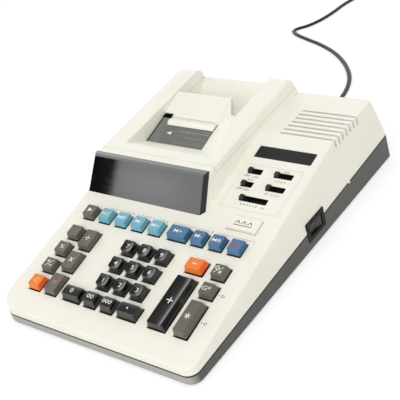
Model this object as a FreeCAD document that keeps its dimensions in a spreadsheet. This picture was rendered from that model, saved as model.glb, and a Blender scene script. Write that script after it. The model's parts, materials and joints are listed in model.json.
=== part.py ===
"""Desk printing calculator: housing, keys, switches, printer and cord, each piece a solid of its own.

Frame: X to the right, Y to the rear, Z up, in millimetres, with the origin on the table under the
middle of the housing. The key deck slopes; places on it are given as x, s (distance up the slope from
the front edge) and n (height square to the deck).
"""
import FreeCAD, Part
import math
import os
import re

import Sketcher
from FreeCAD import Placement, Rotation, Vector

DOC = FreeCAD.newDocument("printing_calculator")
SHEET = DOC.addObject("Spreadsheet::Sheet", "Sizes")
PIECES = {}

# Driving sizes: millimetres and degrees
SIZES = {
    # housing
    "case_width": 220,
    "case_depth": 328,
    "foot_height": 2,
    "wall": 2.5,
    "side_draft": 2.92,
    "front_seam": 10.7,
    "rear_seam": 26,
    "rear_lean": 18.24,
    "deck_front": 17.7,
    "deck_angle": 12.34,
    "flat_height": 70,
    "corner_left": 20,
    "corner_right": 10,
    "corner_rear": 3,
    "edge_round": 1.2,
    "fit_gap": 0.3,
    # display hood and printer cover
    "display_foot": 139.7,
    "display_angle": 54,
    "display_face": 34,
    "display_bevel": 2.45,
    "bevel_angle": 34,
    "panel_thickness": 4,
    "panel_bevel_left": 1.6,
    "panel_bevel_right": 3,
    "top_slope": 5.2,
    "hood_right": 29,
    "hood_lean": 5,
    "hood_round": 2,
    "arm_round": 9,
    "cover_front": 5.5,
    "cover_seam": 70.6,
    "cover_slope": 2.86,
    # pocket, printer window and paper bay
    "pocket_left": -83,
    "pocket_right": -14.6,
    "side_slope": 28,
    "bay_right": 6,
    "pocket_front": 16,
    "window_front": 41,
    "window_height": 65,
    "window_slope": 15.4,
    "window_length": 32.4,
    "window_thickness": 2.5,
    "ledge": 2,
    "guide_foot": 71.5,
    "guide_height": 74.6,
    "guide_run": 28.5,
    "guide_rise": 11,
    "guide_right": -15.2,
    "guide_sheet": 2.2,
    "guide_bridge": 2,
    "paper_slot": 0.8,
    "tear_bar_radius": 5,
    "tear_bar_middle": 68.2,
    "tear_bar_left": -71,
    "trough_middle": 115,
    "trough_radius": 40,
    "trough_floor": 62.2,
    "trough_front": 85,
    # keys
    "key_pitch": 19.1,
    "key_web": 4.1,
    "key_well": 15,
    "key_gap": 0.8,
    "key_skin": 1.3,
    "key_bevel": 0.5,
    "side_lean": 0.4,
    "digit_side_lean": 0.9,
    "front_lean": 1.5,
    "back_lean": 1.6,
    "key_travel": 3,
    "key_lip": 1,
    "stem": 3.6,
    "rise_flush": 3,
    "rise_low": 6,
    "rise_digit": 6.8,
    "rise_wide": 7,
    "dish_radius": 18,
    "dish_depth": 0.7,
    "digit_left": -22.5,
    "front_row": 23.2,
    "back_row": 107.3,
    "wide_well": 21.8,
    "zero_left": -47.7,
    "sum_left": 49,
    "sum_well": 19.8,
    "total_left": 76,
    "rise_total": 7,
    "outer_left": -89.3,
    "outer_pitch": 19.6,
    "operator_left": -69.5,
    "operator_pitch": 25.6,
    "operator_well": 22.5,
    "back_pitch": 19.8,
    "back_well": 14.5,
    "tax_left": 11.7,
    "memory_left": 37.4,
    "memory_pitch": 19.3,
    "feed_left": 60.5,
    "feed_well": 30.5,
    "feed_row": 132.2,
    # slide switches and name plate
    "slot_width": 5.4,
    "slot_a_left": 45.5,
    "slot_a": 13.5,
    "slot_b_left": 73,
    "slot_b": 17.8,
    "slot_c_left": 47,
    "slot_c": 11,
    "slot_d_left": 54.5,
    "slot_d": 27.5,
    "slot_front_row": 164.6,
    "slot_middle_row": 180.2,
    "slot_back_row": 195.8,
    "knob_rise": 3.2,
    "knob_foot": 1,
    "plate_left": 40.4,
    "plate_width": 59.6,
    "plate_row": 215.2,
    "plate_depth": 14.4,
    "plate_sink": 0.8,
    # vent slots and display opening
    "vent_left": 50,
    "vent_front": 79.8,
    "vent_pitch": 6.6,
    "vent_width": 2.6,
    "vent_foot": 62,
    "glass_foot": 53,
    "glass_head": 70,
    "glass_left": -98,
    "glass_right": 20,
    # boards under the deck
    "mat_depth": 9.8,
    "mat_sheet": 1.2,
    "dome_rise": 3.3,
    "board_sheet": 1.6,
    "dome_half": 4.6,
    "dome_lean": 0.9,
    "mat_left": -93,
    "mat_right": 94.5,
    "mat_front": 18,
    "feed_deep": 20,
    "logic_chip": 40,
    "driver_chip": 24,
    "chip_row": 60,
    "chip_height": 4,
    "capacitor": 4,
    "capacitor_height": 6.5,
    "capacitor_row": 157.5,
    "board_inset": 10,
    "board_front": 13,
    "board_middle": 128,
    "board_rear": 208,
    "strip_left": 40,
    "tube_depth": 6,
    # inside the case
    "post_inset": 12.5,
    "post_front": 24,
    "post_step": 46,
    "screw_inset_x": 14,
    "screw_front": 8.5,
    "screw_front_shift": 10,
    "screw_rear": 24,
    "screw_head": 2,
    "head_sink": 3.5,
    "foot_inset": 24,
    "foot_radius": 8,
    "foot_stud": 2.4,
    "rib_front": -100,
    "rib_pitch": 62,
    "rib_height": 3,
    "frame_left": -80,
    "frame_right": 0,
    "frame_front": 36,
    "frame_rear": 92,
    "frame_foot": 24,
    "frame_middle": -12,
    "frame_sheet": 1.5,
    "motor_radius": 10,
    "motor_length": 24,
    "motor_height": 14,
    "guide_bar": 2.5,
    "plate_front_height": 20,
    "plate_rear_height": 15,
    "shaft_radius": 1.5,
    "gear_radius": 7.5,
    "gear_width": 5,
    "tooth_depth": 1.1,
    "tooth_gap": 1.3,
    "gear_gap": 1.5,
    "core_left": 54,
    "core_width": 42,
    "core_stack": 20,
    "core_height": 35,
    "core_y": 92,
    "winding_width": 26,
    "winding_depth": 36,
    "winding_round": 3,
    "core_lug": 7,
    "core_hole": 1.8,
    "post_radius": 4,
    "screw_radius": 1.4,
    "roller_radius": 6.5,
    "roller_y": 66,
    "roller_z": 57.5,
    # power switch
    "switch_y": 24,
    "switch_z": 18.5,
    "switch_inset": 16,
    "pivot_inset": 6,
    "pivot_radius": 1.2,
    "rocker_half": 9.6,
    "rocker_height": 11,
    "rocker_tilt": 6,
    "bezel_rim": 1.5,
    "switch_length": 26,
    "switch_height": 16,
    # cord
    "cord_size": 5,
    "cord_x": 8,
    "cord_z": 13,
    "gland_length": 28,
    "gland_flange": 2,
    "coil_middle": 27.5,
    "coil_pitch": 5.8,
    "coil_layer": 5.5,
    "coil_tail": 34,
    "plug_taper": 9,
    "plug_length": 22,
    "plug_width": 34,
    "plug_height": 14,
    "plug_round": 3,
    "plug_pin": 2,
    "plug_pin_gap": 19,
    "plug_pin_length": 19,
}

for row, (alias, amount) in enumerate(SIZES.items(), start=1):
    SHEET.set(f"A{row}", alias)
    SHEET.set(f"B{row}", str(amount))
    SHEET.setAlias(f"B{row}", alias)
DOC.recompute()


def bound(formula):
    """The formula with each size name replaced by its cell."""
    return re.sub(r"[a-z_]+", lambda word: "Sizes." + word[0] if word[0] in SIZES else word[0], str(formula))


def size(formula):
    """The number that a formula of sizes gives."""
    return float(SHEET.evalExpression(bound(formula)))


def bind(thing, **formulas):
    """Ties properties of an object to formulas of sizes."""
    for name, formula in formulas.items():
        thing.setExpression(name, bound(formula))
    return thing


def place(thing, x=0, y=0, z=0, turn=0, axis=(1, 0, 0)):
    """Puts an object at x, y, z, turned about an axis through its own origin."""
    thing.Placement = Placement(Vector(), Rotation(Vector(*axis), size(turn)))
    bind(thing, **{"Placement.Base.x": x, "Placement.Base.y": y, "Placement.Base.z": z})
    if turn != 0:
        bind(thing, **{"Placement.Rotation.Angle": turn})
    return thing


def on_deck(thing, x=0, s=0, n=0):
    """Puts an object on the sloping deck, its own z square to the deck."""
    y = f"-case_depth / 2 + ({s}) * cos(deck_angle) - ({n}) * sin(deck_angle)"
    z = f"deck_front + ({s}) * sin(deck_angle) + ({n}) * cos(deck_angle)"
    return place(thing, x, y, z, "deck_angle")


def make(kind, label):
    thing = DOC.addObject(kind, label)
    thing.Label = label
    return thing


def box(label, x, y, z, put=place):
    """A box between pairs of limits."""
    thing = make("Part::Box", label)
    bind(thing, Length=f"({x[1]}) - ({x[0]})", Width=f"({y[1]}) - ({y[0]})", Height=f"({z[1]}) - ({z[0]})")
    return put(thing, x[0], y[0], z[0])


def frustum(label, x, y, z, lean):
    """A block whose top is drawn in on its left, right, front and back sides."""
    left, right, front, back = lean
    thing = make("Part::Wedge", label)
    bind(thing, Xmin=x[0], Xmax=x[1], Ymin=z[0], Ymax=z[1], Zmin=f"-({y[1]})", Zmax=f"-({y[0]})")
    bind(thing, X2min=f"({x[0]}) + ({left})", X2max=f"({x[1]}) - ({right})")
    bind(thing, Z2min=f"-({y[1]}) + ({back})", Z2max=f"-({y[0]}) - ({front})")
    thing.Placement = Placement(Vector(), Rotation(Vector(1, 0, 0), 90))
    return thing


AXES = {"x": ((0, 1, 0), 90), "y": ((1, 0, 0), -90), "z": ((1, 0, 0), 0)}


def rod(label, radius, length, x=0, y=0, z=0, along="z"):
    """A cylinder from a point along an axis."""
    thing = make("Part::Cylinder", label)
    bind(thing, Radius=radius, Height=length)
    axis, turn = AXES[along]
    return place(thing, x, y, z, turn, axis)


def cone(label, radius, end_radius, length, x=0, y=0, z=0, along="z"):
    thing = make("Part::Cone", label)
    bind(thing, Radius1=radius, Radius2=end_radius, Height=length)
    axis, turn = AXES[along]
    return place(thing, x, y, z, turn, axis)


def fuse(label, parts):
    thing = make("Part::MultiFuse", label)
    thing.Shapes = parts
    thing.Refine = True
    return thing


def group(label, parts):
    """Separate solids held as one object."""
    thing = make("Part::Compound", label)
    thing.Links = parts
    return thing


def cut(label, base, tool):
    thing = make("Part::Cut", label)
    thing.Base = base
    thing.Tool = tool
    return thing


def common(label, parts):
    thing = make("Part::MultiCommon", label)
    thing.Shapes = parts
    return thing


def piece(node, thing):
    """Names a finished sub-part, which becomes the file of that name."""
    thing.Label = node
    PIECES[node] = thing
    return thing


PLANES = {"side": "YZ_Plane", "front": "XZ_Plane", "plan": "XY_Plane"}


def outline(body, view, points, offset=0):
    """A closed sketch through points whose coordinates are formulas of sizes."""
    sketch = body.newObject("Sketcher::SketchObject", body.Name + "_" + view)
    plane = next(f for f in body.Origin.OriginFeatures if f.Role == PLANES[view])
    sketch.AttachmentSupport = (plane, [""])
    sketch.MapMode = "FlatFace"
    if offset != 0:
        bind(sketch, **{"AttachmentOffset.Base.z": offset})
    corners = [Vector(size(a), size(b), 0) for a, b in points]
    count = len(corners)
    sketch.addGeometry([Part.LineSegment(corners[i], corners[(i + 1) % count]) for i in range(count)], False)
    sketch.addConstraint([Sketcher.Constraint("Coincident", i, 2, (i + 1) % count, 1) for i in range(count)])
    for i, (across, up) in enumerate(points):
        for kind, value, formula in (("DistanceX", corners[i].x, across), ("DistanceY", corners[i].y, up)):
            index = sketch.addConstraint(Sketcher.Constraint(kind, -1, 1, i, 1, value))
            bind(sketch, **{f"Constraints[{index}]": formula})
    return sketch


def pad(label, view, points, start, end):
    """A body whose outline in one view runs from start to end square to that view."""
    body = make("PartDesign::Body", label)
    sketch = outline(body, view, points, start)
    solid = body.newObject("PartDesign::Pad", label + "_pad")
    solid.Profile = sketch
    bind(solid, Length=f"({end}) - ({start})")
    DOC.recompute()
    return body


def trim(body, view, points):
    """Cuts an outline right through a body and checks that material went."""
    before = body.Shape.Volume
    pocket = body.newObject("PartDesign::Pocket", body.Name + "_trim")
    pocket.Profile = outline(body, view, points)
    pocket.Type = "ThroughAll"
    pocket.Midplane = True
    DOC.recompute()
    if body.Shape.Volume > before - 1:
        raise RuntimeError(f"{body.Label}: the {view} trim cut nothing")
    return body


def picked_edges(shape, chosen):
    """Numbers of the edges whose middle point and direction pass a test."""
    numbers = []
    for number, edge in enumerate(shape.Edges, start=1):
        halfway = (edge.FirstParameter + edge.LastParameter) / 2
        if chosen(edge.valueAt(halfway), edge.tangentAt(halfway)):
            numbers.append(number)
    if not numbers:
        raise RuntimeError("no edge passes the test")
    return numbers


def dress_edges(body, kind, chosen, **amounts):
    """Rounds or bevels the chosen edges of a body."""
    base = body.Tip
    names = [f"Edge{number}" for number in picked_edges(body.Shape, chosen)]
    dressing = body.newObject("PartDesign::" + kind, body.Name + "_" + kind)
    dressing.Base = (base, names)
    bind(dressing, **amounts)
    DOC.recompute()
    return body


# Lines of the housing, as formulas; inset is measured square to the surface
FRONT = "(-case_depth / 2)"
REAR = "(case_depth / 2)"


def deck_z(y, inset=0):
    return f"(deck_front + (({y}) + case_depth / 2) * tan(deck_angle) - ({inset}) / cos(deck_angle))"


def deck_y(z, inset=0):
    return f"((({z}) - deck_front + ({inset}) / cos(deck_angle)) / tan(deck_angle) - case_depth / 2)"


def rear_y(z, inset=0):
    return f"(case_depth / 2 - (({z}) - rear_seam) * tan(rear_lean) - ({inset}) / cos(rear_lean))"


def seam_z(y):
    return f"(front_seam + (({y}) + case_depth / 2) * (rear_seam - front_seam) / case_depth)"


def side_x(z, inset=0):
    return f"(case_width / 2 - (({z}) - foot_height) * tan(side_draft) - ({inset}) / cos(side_draft))"


def hood_x(z, inset=0):
    """Right side of the display hood; hood_right is its place at flat_height."""
    return f"(hood_right - (({z}) - flat_height) * tan(hood_lean) - ({inset}) / cos(hood_lean))"


FACE_Y = "(-case_depth / 2 + display_foot * cos(deck_angle))"
FACE_Z = "(deck_front + display_foot * sin(deck_angle))"
CREST_Y = f"({FACE_Y} + display_face * cos(display_angle) + display_bevel * cos(bevel_angle))"
CREST_Z = f"({FACE_Z} + display_face * sin(display_angle) + display_bevel * sin(bevel_angle))"


def top_z(y, inset=0):
    return f"({CREST_Z} + (({y}) - {CREST_Y}) * tan(top_slope) - ({inset}) / cos(top_slope))"


def rear_top(inset=0):
    """Where the top surface meets the leaning rear."""
    flat = f"({rear_y('rear_seam', inset)})"
    fall = "tan(rear_lean)"
    z = f"(({top_z(flat, inset)} + rear_seam * tan(top_slope) * {fall}) / (1 + tan(top_slope) * {fall}))"
    return rear_y(z, inset), z


def cover_z(y):
    return f"(cover_seam + (({y}) - cover_front) * tan(cover_slope))"


# Places well above the housing and well past its sides, for cuts that run right through
SKY = "(flat_height + 60)"
PAST_RIGHT = "(case_width / 2 + 15)"
PAST_LEFT = "(-case_width / 2 - 15)"


def draft_sides(body, inset, right=side_x):
    """Cuts the left side to its draft and the right side to its own lean."""
    trim(body, "front", [(f"-{side_x(0, inset)}", 0), (f"-{side_x(SKY, inset)}", SKY), (PAST_LEFT, SKY), (PAST_LEFT, 0)])
    trim(body, "front", [(right(0, inset), 0), (PAST_RIGHT, 0), (PAST_RIGHT, SKY), (right(SKY, inset), SKY)])
    return body


def steep(direction):
    return abs(direction.z) > 0.8


def housing_form(label, points, inset):
    """A full-width moulding with the side view given, drafted sides and rounded upright corners."""
    body = pad(label, "side", points, "-case_width / 2 - 1", "case_width / 2 + 1")
    draft_sides(body, inset)
    front = size(FRONT) + 5
    rear = size(REAR) - 30
    corners = (
        ("corner_left", lambda m, d: steep(d) and m.y < front and m.x < 0),
        ("corner_right", lambda m, d: steep(d) and m.y < front and m.x > 0),
        ("corner_rear", lambda m, d: steep(d) and m.y > rear),
    )
    for radius, chosen in corners:
        dress_edges(body, "Fillet", chosen, Radius=f"max({radius} - ({inset}); 0.5)")
    return body


def upper_points(inset):
    """Side view of the upper housing from the seam up: front, deck, rear flat and leaning rear."""
    front = f"({FRONT} + {inset})"
    flat = f"(flat_height - {inset})"
    return [(front, deck_z(front, inset)), (deck_y(flat, inset), flat), (rear_y(flat, inset), flat),
            (rear_y("rear_seam", inset), "rear_seam")]


def face_y(z, inset=0):
    """Place of the display face, or of a plane behind it, at height z."""
    return f"({FACE_Y} + (({z}) - {FACE_Z}) / tan(display_angle) + ({inset}) / sin(display_angle))"


FACE_END_Z = f"({FACE_Z} + display_face * sin(display_angle))"


def hood_outer_points():
    low = f"({FACE_Z} - 2)"
    return [(face_y(low), low), (face_y(FACE_END_Z), FACE_END_Z), (CREST_Y, CREST_Z), rear_top(),
            (rear_y("flat_height - 4"), "flat_height - 4")]


def face_top(inset, face_inset):
    """Where a plane behind the display face meets a surface under the top."""
    slope = "tan(top_slope)"
    foot = face_y(0, face_inset)
    z = f"(({CREST_Z} + ({foot} - {CREST_Y}) * {slope} - ({inset}) / cos(top_slope))" \
        f" / (1 - {slope} / tan(display_angle)))"
    return face_y(z, face_inset), z


def hood_inner_points(inset, face_inset):
    low = f"({FACE_Z} - 8)"
    return [(face_y(low, face_inset), low), face_top(inset, face_inset), rear_top(inset),
            (rear_y("flat_height - 8", inset), "flat_height - 8")]


def hood_form(label, points, inset):
    """The raised form of display hood and printer cover, with a leaning right side and round arm ends."""
    body = pad(label, "side", points, "-case_width / 2 - 1", "case_width / 2 - 20")
    draft_sides(body, inset, hood_x)
    back = size(rear_top()[0]) - 12
    top = size(CREST_Z)
    dress_edges(body, "Fillet", lambda m, d: abs(d.x) > 0.9 and m.y > back and m.z > top,
                Radius=f"arm_round - ({inset})")
    dress_edges(body, "Fillet", lambda m, d: abs(d.x) < 0.6 and m.z > top and m.y > size(CREST_Y) + 1,
                Radius=f"max(hood_round - ({inset}) / 2; 0.6)")
    return body


# Outer and inner forms of the housing
seam_foot = [(FRONT, "front_seam")]
deck_outer = housing_form("deck_outer", seam_foot + upper_points(0), "0")
inside_foot = [(f"{FRONT} + wall", "foot_height"), (rear_y("rear_seam", "wall"), "foot_height")]
deck_inner = housing_form("deck_inner", inside_foot[:1] + upper_points("wall") + inside_foot[1:], "wall")
hood_outer = hood_form("hood_outer", hood_outer_points(), "0")
hood_inner = hood_form("hood_inner", hood_inner_points("wall", "panel_thickness + wall"), "wall")


def round_part(label, base, radius, chosen):
    """Part fillet on the edges of a finished boolean that pass a test."""
    DOC.recompute()
    rounding = make("Part::Fillet", label)
    rounding.Base = base
    rounding.Edges = [(number, size(radius), size(radius)) for number in picked_edges(base.Shape, chosen)]
    DOC.recompute()
    return rounding


# Housing outside: deck and hood as one form, its front and side edges softened
housing = fuse("housing", [deck_outer, hood_outer])
deck_front = size("deck_front")


def soft_edge(middle, direction):
    """Front and side edges of the sloping deck."""
    on_line = abs(middle.z - size(deck_z(str(middle.y)))) < 0.8
    return on_line and middle.z > deck_front - 1 and (middle.y < size(FRONT) + 22 or abs(middle.x) > 90)


housing_soft = round_part("housing_soft", housing, "edge_round", soft_edge)


def on_window(thing):
    """Turns an object with the plane of the printer window, its origin on the window's front edge."""
    return place(thing, 0, "window_front", "window_height", "window_slope")


def window_z(y, inset=0):
    return f"(window_height + (({y}) - window_front) * tan(window_slope) - ({inset}) / cos(window_slope))"


WINDOW_REAR = "(window_front + window_length * cos(window_slope))"
BEHIND = f"({REAR} + 20)"
LOW = "(flat_height - 30)"

# Everything behind the front seam and above the side seam belongs to the printer cover
cover_cut = pad("cover_cut", "side", [("cover_front", cover_z("cover_front")), (BEHIND, cover_z(BEHIND)),
                                      (BEHIND, SKY), ("cover_front", SKY)], PAST_LEFT, PAST_RIGHT)
near = "cover_front + fit_gap"
cover_zone = pad("cover_zone", "side", [(near, f"{cover_z(near)} + fit_gap"), (BEHIND, f"{cover_z(BEHIND)} + fit_gap"),
                                        (BEHIND, SKY), (near, SKY)], PAST_LEFT, PAST_RIGHT)

# Smoked display panel: the front slice of the hood, with its side edges bevelled
panel_back = f"({FACE_Y} + panel_thickness / sin(display_angle) / (1 - tan(deck_angle) / tan(display_angle)))"
panel_slab = pad("panel_slab", "side", [(FACE_Y, FACE_Z), (panel_back, deck_z(panel_back)),
                                        (face_y(SKY, "panel_thickness"), SKY), (face_y(SKY), SKY)], PAST_LEFT, PAST_RIGHT)
display_window = pad("display_window", "side", [
    (FACE_Y, FACE_Z), (panel_back, deck_z(panel_back)), face_top(0, "panel_thickness"),
    (CREST_Y, CREST_Z), (face_y(FACE_END_Z), FACE_END_Z)], "-case_width / 2 - 1", "case_width / 2 - 20")
draft_sides(display_window, 0, hood_x)
for bevel, mark in (("panel_bevel_left", -1), ("panel_bevel_right", 1)):
    dress_edges(display_window, "Chamfer", Size=bevel, chosen=lambda m, d: m.x * mark > 20 and abs(d.x) < 0.5
                and abs(m.y - size(face_y(str(m.z)))) < 0.2)
piece("display_window", display_window)

# Printer cover: shell, ramp and walls of the pocket, then the pocket, the window hole and the paper bay
cover_shell = cut("cover_shell", common("cover_skin", [housing_soft, cover_zone]), hood_inner)
ramp_top = top_z("pocket_front")
seat_front = window_z("window_front", "window_thickness")
seat_rear = window_z(WINDOW_REAR, "window_thickness")
below_ledge = [("window_front - wall / 2", f"{seat_front} - ledge"), (WINDOW_REAR, f"{seat_rear} - ledge")]
above_seat = [("window_front", "window_height"), ("window_front", seat_front), (WINDOW_REAR, seat_rear)]


def beside_window(label, left, lift):
    """Everything under the slope that rises to the right of the printer window, or under a plane below it."""
    foot = f"(({left} - pocket_right) * tan(side_slope) - {lift} / cos(side_slope))"
    head = f"((case_width / 2 - pocket_right) * tan(side_slope) - {lift} / cos(side_slope))"
    return on_window(pad(label, "front", [(left, foot), (left, "-flat_height"), ("case_width / 2", "-flat_height"),
                                          ("case_width / 2", head)], "-2 * window_length", "2 * window_length"))


def pocket_part(label, front, floor, left, slope):
    """The pocket's front ramp and seat, bounded on the right by the slope beside the window."""
    form = pad(label + "_form", "side", [(front, SKY), (front, ramp_top)] + floor + [(WINDOW_REAR, SKY)], left,
               "hood_right - wall")
    return cut(label, form, slope)


def bay_part(label, foot, grow):
    """The open paper bay behind the printer window."""
    return pad(label, "side", [(WINDOW_REAR, foot(WINDOW_REAR)), (BEHIND, foot(BEHIND)), (BEHIND, SKY),
                               (WINDOW_REAR, SKY)], f"pocket_left - {grow}", f"bay_right + {grow}")


pocket_solid = fuse("pocket_solid", [
    pocket_part("pocket_block", "pocket_front - 2 * wall", below_ledge, "pocket_left - wall",
                beside_window("under_slope", "(pocket_right + wall)", "wall")),
    bay_part("bay_block", lambda y: f"{cover_z(y)} + fit_gap", "wall")])
pocket_walls = common("pocket_walls", [pocket_solid, hood_outer])
pocket_void = fuse("pocket_void", [
    pocket_part("pocket_space", "pocket_front", above_seat, "pocket_left",
                beside_window("slope", "pocket_right", "0")),
    bay_part("bay_space", lambda y: LOW, "0")])
window_hole = box("window_hole", ("pocket_left + 1.5 * ledge", "pocket_right - 1.5 * ledge"),
                  ("window_front + 1.5 * ledge", f"{WINDOW_REAR} + 1"), (LOW, "window_height + 8"))
cover_body = fuse("cover_body", [cover_shell, pocket_walls])
printer_cover = piece("printer_cover", cut("printer_cover", cover_body,
                                           fuse("cover_openings", [pocket_void, window_hole])))

# Smoked printer window on its ledge
window_start = "(window_front + fit_gap)"
window_end = f"({WINDOW_REAR} - fit_gap)"
printer_window = piece("printer_window", pad("printer_window", "side", [
    (window_start, window_z(window_start, "window_thickness")), (window_end, window_z(window_end, "window_thickness")),
    (window_end, window_z(window_end)), (window_start, window_z(window_start))],
    "pocket_left + fit_gap", "pocket_right - fit_gap"))

# Paper guide: ramp with rear and side flanges, joined to the half-round tear bar past the end of the paper slot
GUIDE_TOP = ("(guide_foot + guide_run)", "(guide_height + guide_rise)")
GUIDE_BACK = f"({GUIDE_TOP[0]} + guide_sheet)"
flange_foot = "cover_seam + 2 * guide_sheet"
slot_front = f"({WINDOW_REAR} + fit_gap / 3)"
guide_lip = f"({WINDOW_REAR} + 2 * fit_gap)"
guide_sheet_form = pad("guide_sheet_form", "side", [
    ("guide_foot", f"{window_z('guide_foot')} + fit_gap"), ("guide_foot", "guide_height"), GUIDE_TOP,
    (GUIDE_BACK, GUIDE_TOP[1]), (GUIDE_BACK, flange_foot), (GUIDE_TOP[0], flange_foot),
    (GUIDE_TOP[0], f"{GUIDE_TOP[1]} - guide_sheet"), (guide_lip, f"{window_z(guide_lip)} + fit_gap")],
    "pocket_left + fit_gap", "guide_right")
paper_slot = box("paper_slot", ("pocket_left", "guide_right - guide_bridge"), (slot_front, f"{slot_front} + paper_slot"),
                 (LOW, SKY))
slot_notch = box("slot_notch", ("pocket_left", "tear_bar_left + fit_gap"),
                 ("guide_foot - fit_gap", f"{slot_front} + 2 * guide_sheet"), (LOW, SKY))
guide_ramp = cut("guide_ramp", guide_sheet_form, fuse("slot_cuts", [paper_slot, slot_notch]))
side_flange = pad("side_flange", "side", [
    ("guide_foot + 2 * guide_sheet", f"{flange_foot} + fit_gap"), ("trough_front", f"{flange_foot} + fit_gap"),
    (GUIDE_TOP[0], "trough_floor + 2 * guide_sheet"), (GUIDE_TOP[0], f"{GUIDE_TOP[1]} - guide_sheet / 2"),
    ("guide_foot + 2 * guide_sheet", "guide_height + 2 * guide_sheet * guide_rise / guide_run - guide_sheet / 4")],
    "guide_right - guide_bridge", "guide_right")
bar_rod = rod("bar_rod", "tear_bar_radius", "guide_right - tear_bar_left", "tear_bar_left",
              "tear_bar_middle", f"{window_z('tear_bar_middle')} - tear_bar_radius / 2", "x")
above = ("tear_bar_middle - 2 * tear_bar_radius", "tear_bar_middle + 2 * tear_bar_radius")
above_window = pad("above_window", "side", [(y, f"{window_z(y)} + fit_gap") for y in above]
                   + [(above[1], SKY), (above[0], SKY)], PAST_LEFT, PAST_RIGHT)
tear_bar = common("tear_bar", [bar_rod, above_window])
paper_guide = piece("paper_guide", fuse("paper_guide", [guide_ramp, side_flange, tear_bar]))

# Keys: each sits in its own well; the cap is hollow, with a lip that stops it under the deck
CAP_FOOT = "-(wall + fit_gap)"
LIP_FOOT = "(-(wall + fit_gap) - 1)"
STEM_FOOT = "(-mat_depth + dome_rise + fit_gap)"
KEY_WELLS = []


def key(node, x, s, width="key_well", depth="key_well", rise="rise_low", side="side_lean", dish=""):
    """A key whose well has its front-left corner at x, s on the deck."""
    lean = (side, side, "front_lean", "back_lean")
    left, right = "key_gap", f"({width} - key_gap)"
    front, back = "key_gap", f"({depth} - key_gap)"
    shoulder = f"({rise} - key_bevel)"
    cap = frustum(node + "_cap", (left, right), (front, back), (LIP_FOOT, shoulder), lean)
    crown_x = (f"key_gap + {side}", f"({width} - key_gap - {side})")
    crown_s = ("key_gap + front_lean", f"({depth} - key_gap - back_lean)")
    crown = frustum(node + "_crown", crown_x, crown_s, (shoulder, rise), ["key_bevel"] * 4)
    lip = box(node + "_lip", ("-key_lip", f"{width} + key_lip"), ("-key_lip", f"{depth} + key_lip"),
              (LIP_FOOT, CAP_FOOT))
    hollow = [frustum(node + "_hollow", (f"{left} + key_skin", f"{right} - key_skin"),
                      (f"{front} + key_skin", f"{back} - key_skin"), (LIP_FOOT, f"{shoulder} - key_skin"), lean)]
    if dish:
        hollow.append(rod(node + "_dish", "dish_radius", f"{depth} * 3", f"{width} / 2", f"-{depth}",
                          f"{rise} - {dish} + dish_radius", "y"))
        shell = cut(node + "_shell", fuse(node + "_body", [cap, crown, lip]), fuse(node + "_cuts", hollow))
    else:
        shell = cut(node + "_shell", fuse(node + "_body", [cap, crown, lip]), hollow[0])
    stem = box(node + "_stem", (f"({width} - stem) / 2", f"({width} + stem) / 2"),
               (f"({depth} - stem) / 2", f"({depth} + stem) / 2"), (STEM_FOOT, f"{shoulder} - key_skin / 2"))
    piece(node, on_deck(fuse(node, [shell, stem]), x, s))
    KEY_WELLS.append((node, x, s, width, depth))


def row_s(row):
    """Front edge of a row of wells; row 0 is the front one."""
    return f"(front_row + {row} * key_pitch)"


def column_x(column):
    return f"(digit_left + {column} * key_pitch)"


def rows_deep(count):
    """Depth of a well that takes a number of rows."""
    return f"({count} * key_pitch - key_web)"


for digit in range(1, 10):
    key(f"digit_{digit}_key", column_x((digit - 1) % 3), row_s((digit - 1) // 3 + 1), rows_deep(1), rows_deep(1),
        "rise_digit", "digit_side_lean", "dish_depth")
key("digit_0_key", "zero_left", row_s(0), "wide_well", rows_deep(1), "rise_wide")
key("double_zero_key", column_x(0), row_s(0), rows_deep(1), rows_deep(1), "rise_wide")
key("triple_zero_key", column_x(1), row_s(0), rows_deep(1), rows_deep(1), "rise_wide")
key("point_key", column_x(2), row_s(0), "wide_well", rows_deep(1), "rise_wide")
key("plus_key", "sum_left", row_s(0), "sum_well", rows_deep(3), dish="dish_depth")
key("minus_key", "sum_left", row_s(3), "sum_well", rows_deep(1))
key("subtotal_key", "total_left", row_s(3), depth=rows_deep(1))
key("grand_total_key", "total_left", row_s(2), depth=rows_deep(1))
key("total_key", "total_left", row_s(0), depth=rows_deep(2), rise="rise_total")
for row, name in enumerate(("clear_key", "sign_key", "percent_key", "clear_entry_key")):
    key(name, "outer_left", f"(front_row + {row} * outer_pitch)")
for row, name in enumerate(("equals_key", "multiply_key", "divide_key")):
    key(name, "operator_left", f"(front_row + {row} * operator_pitch)", depth="operator_well")
BACK_LEFT = ("print_advance_key", "rate_key", "cost_key", "sell_key", "margin_key")
for column, name in enumerate(BACK_LEFT):
    key(name, f"(outer_left + {column} * back_pitch)", "back_row", width="back_well")
key("tax_key", "tax_left", "back_row", width="wide_well")
for column, name in enumerate(("memory_total_key", "memory_recall_key", "memory_plus_key")):
    key(name, f"(memory_left + {column} * memory_pitch)", "back_row", width="back_well")
key("feed_key", "feed_left", "feed_row", width="feed_well", rise="rise_flush")

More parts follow.
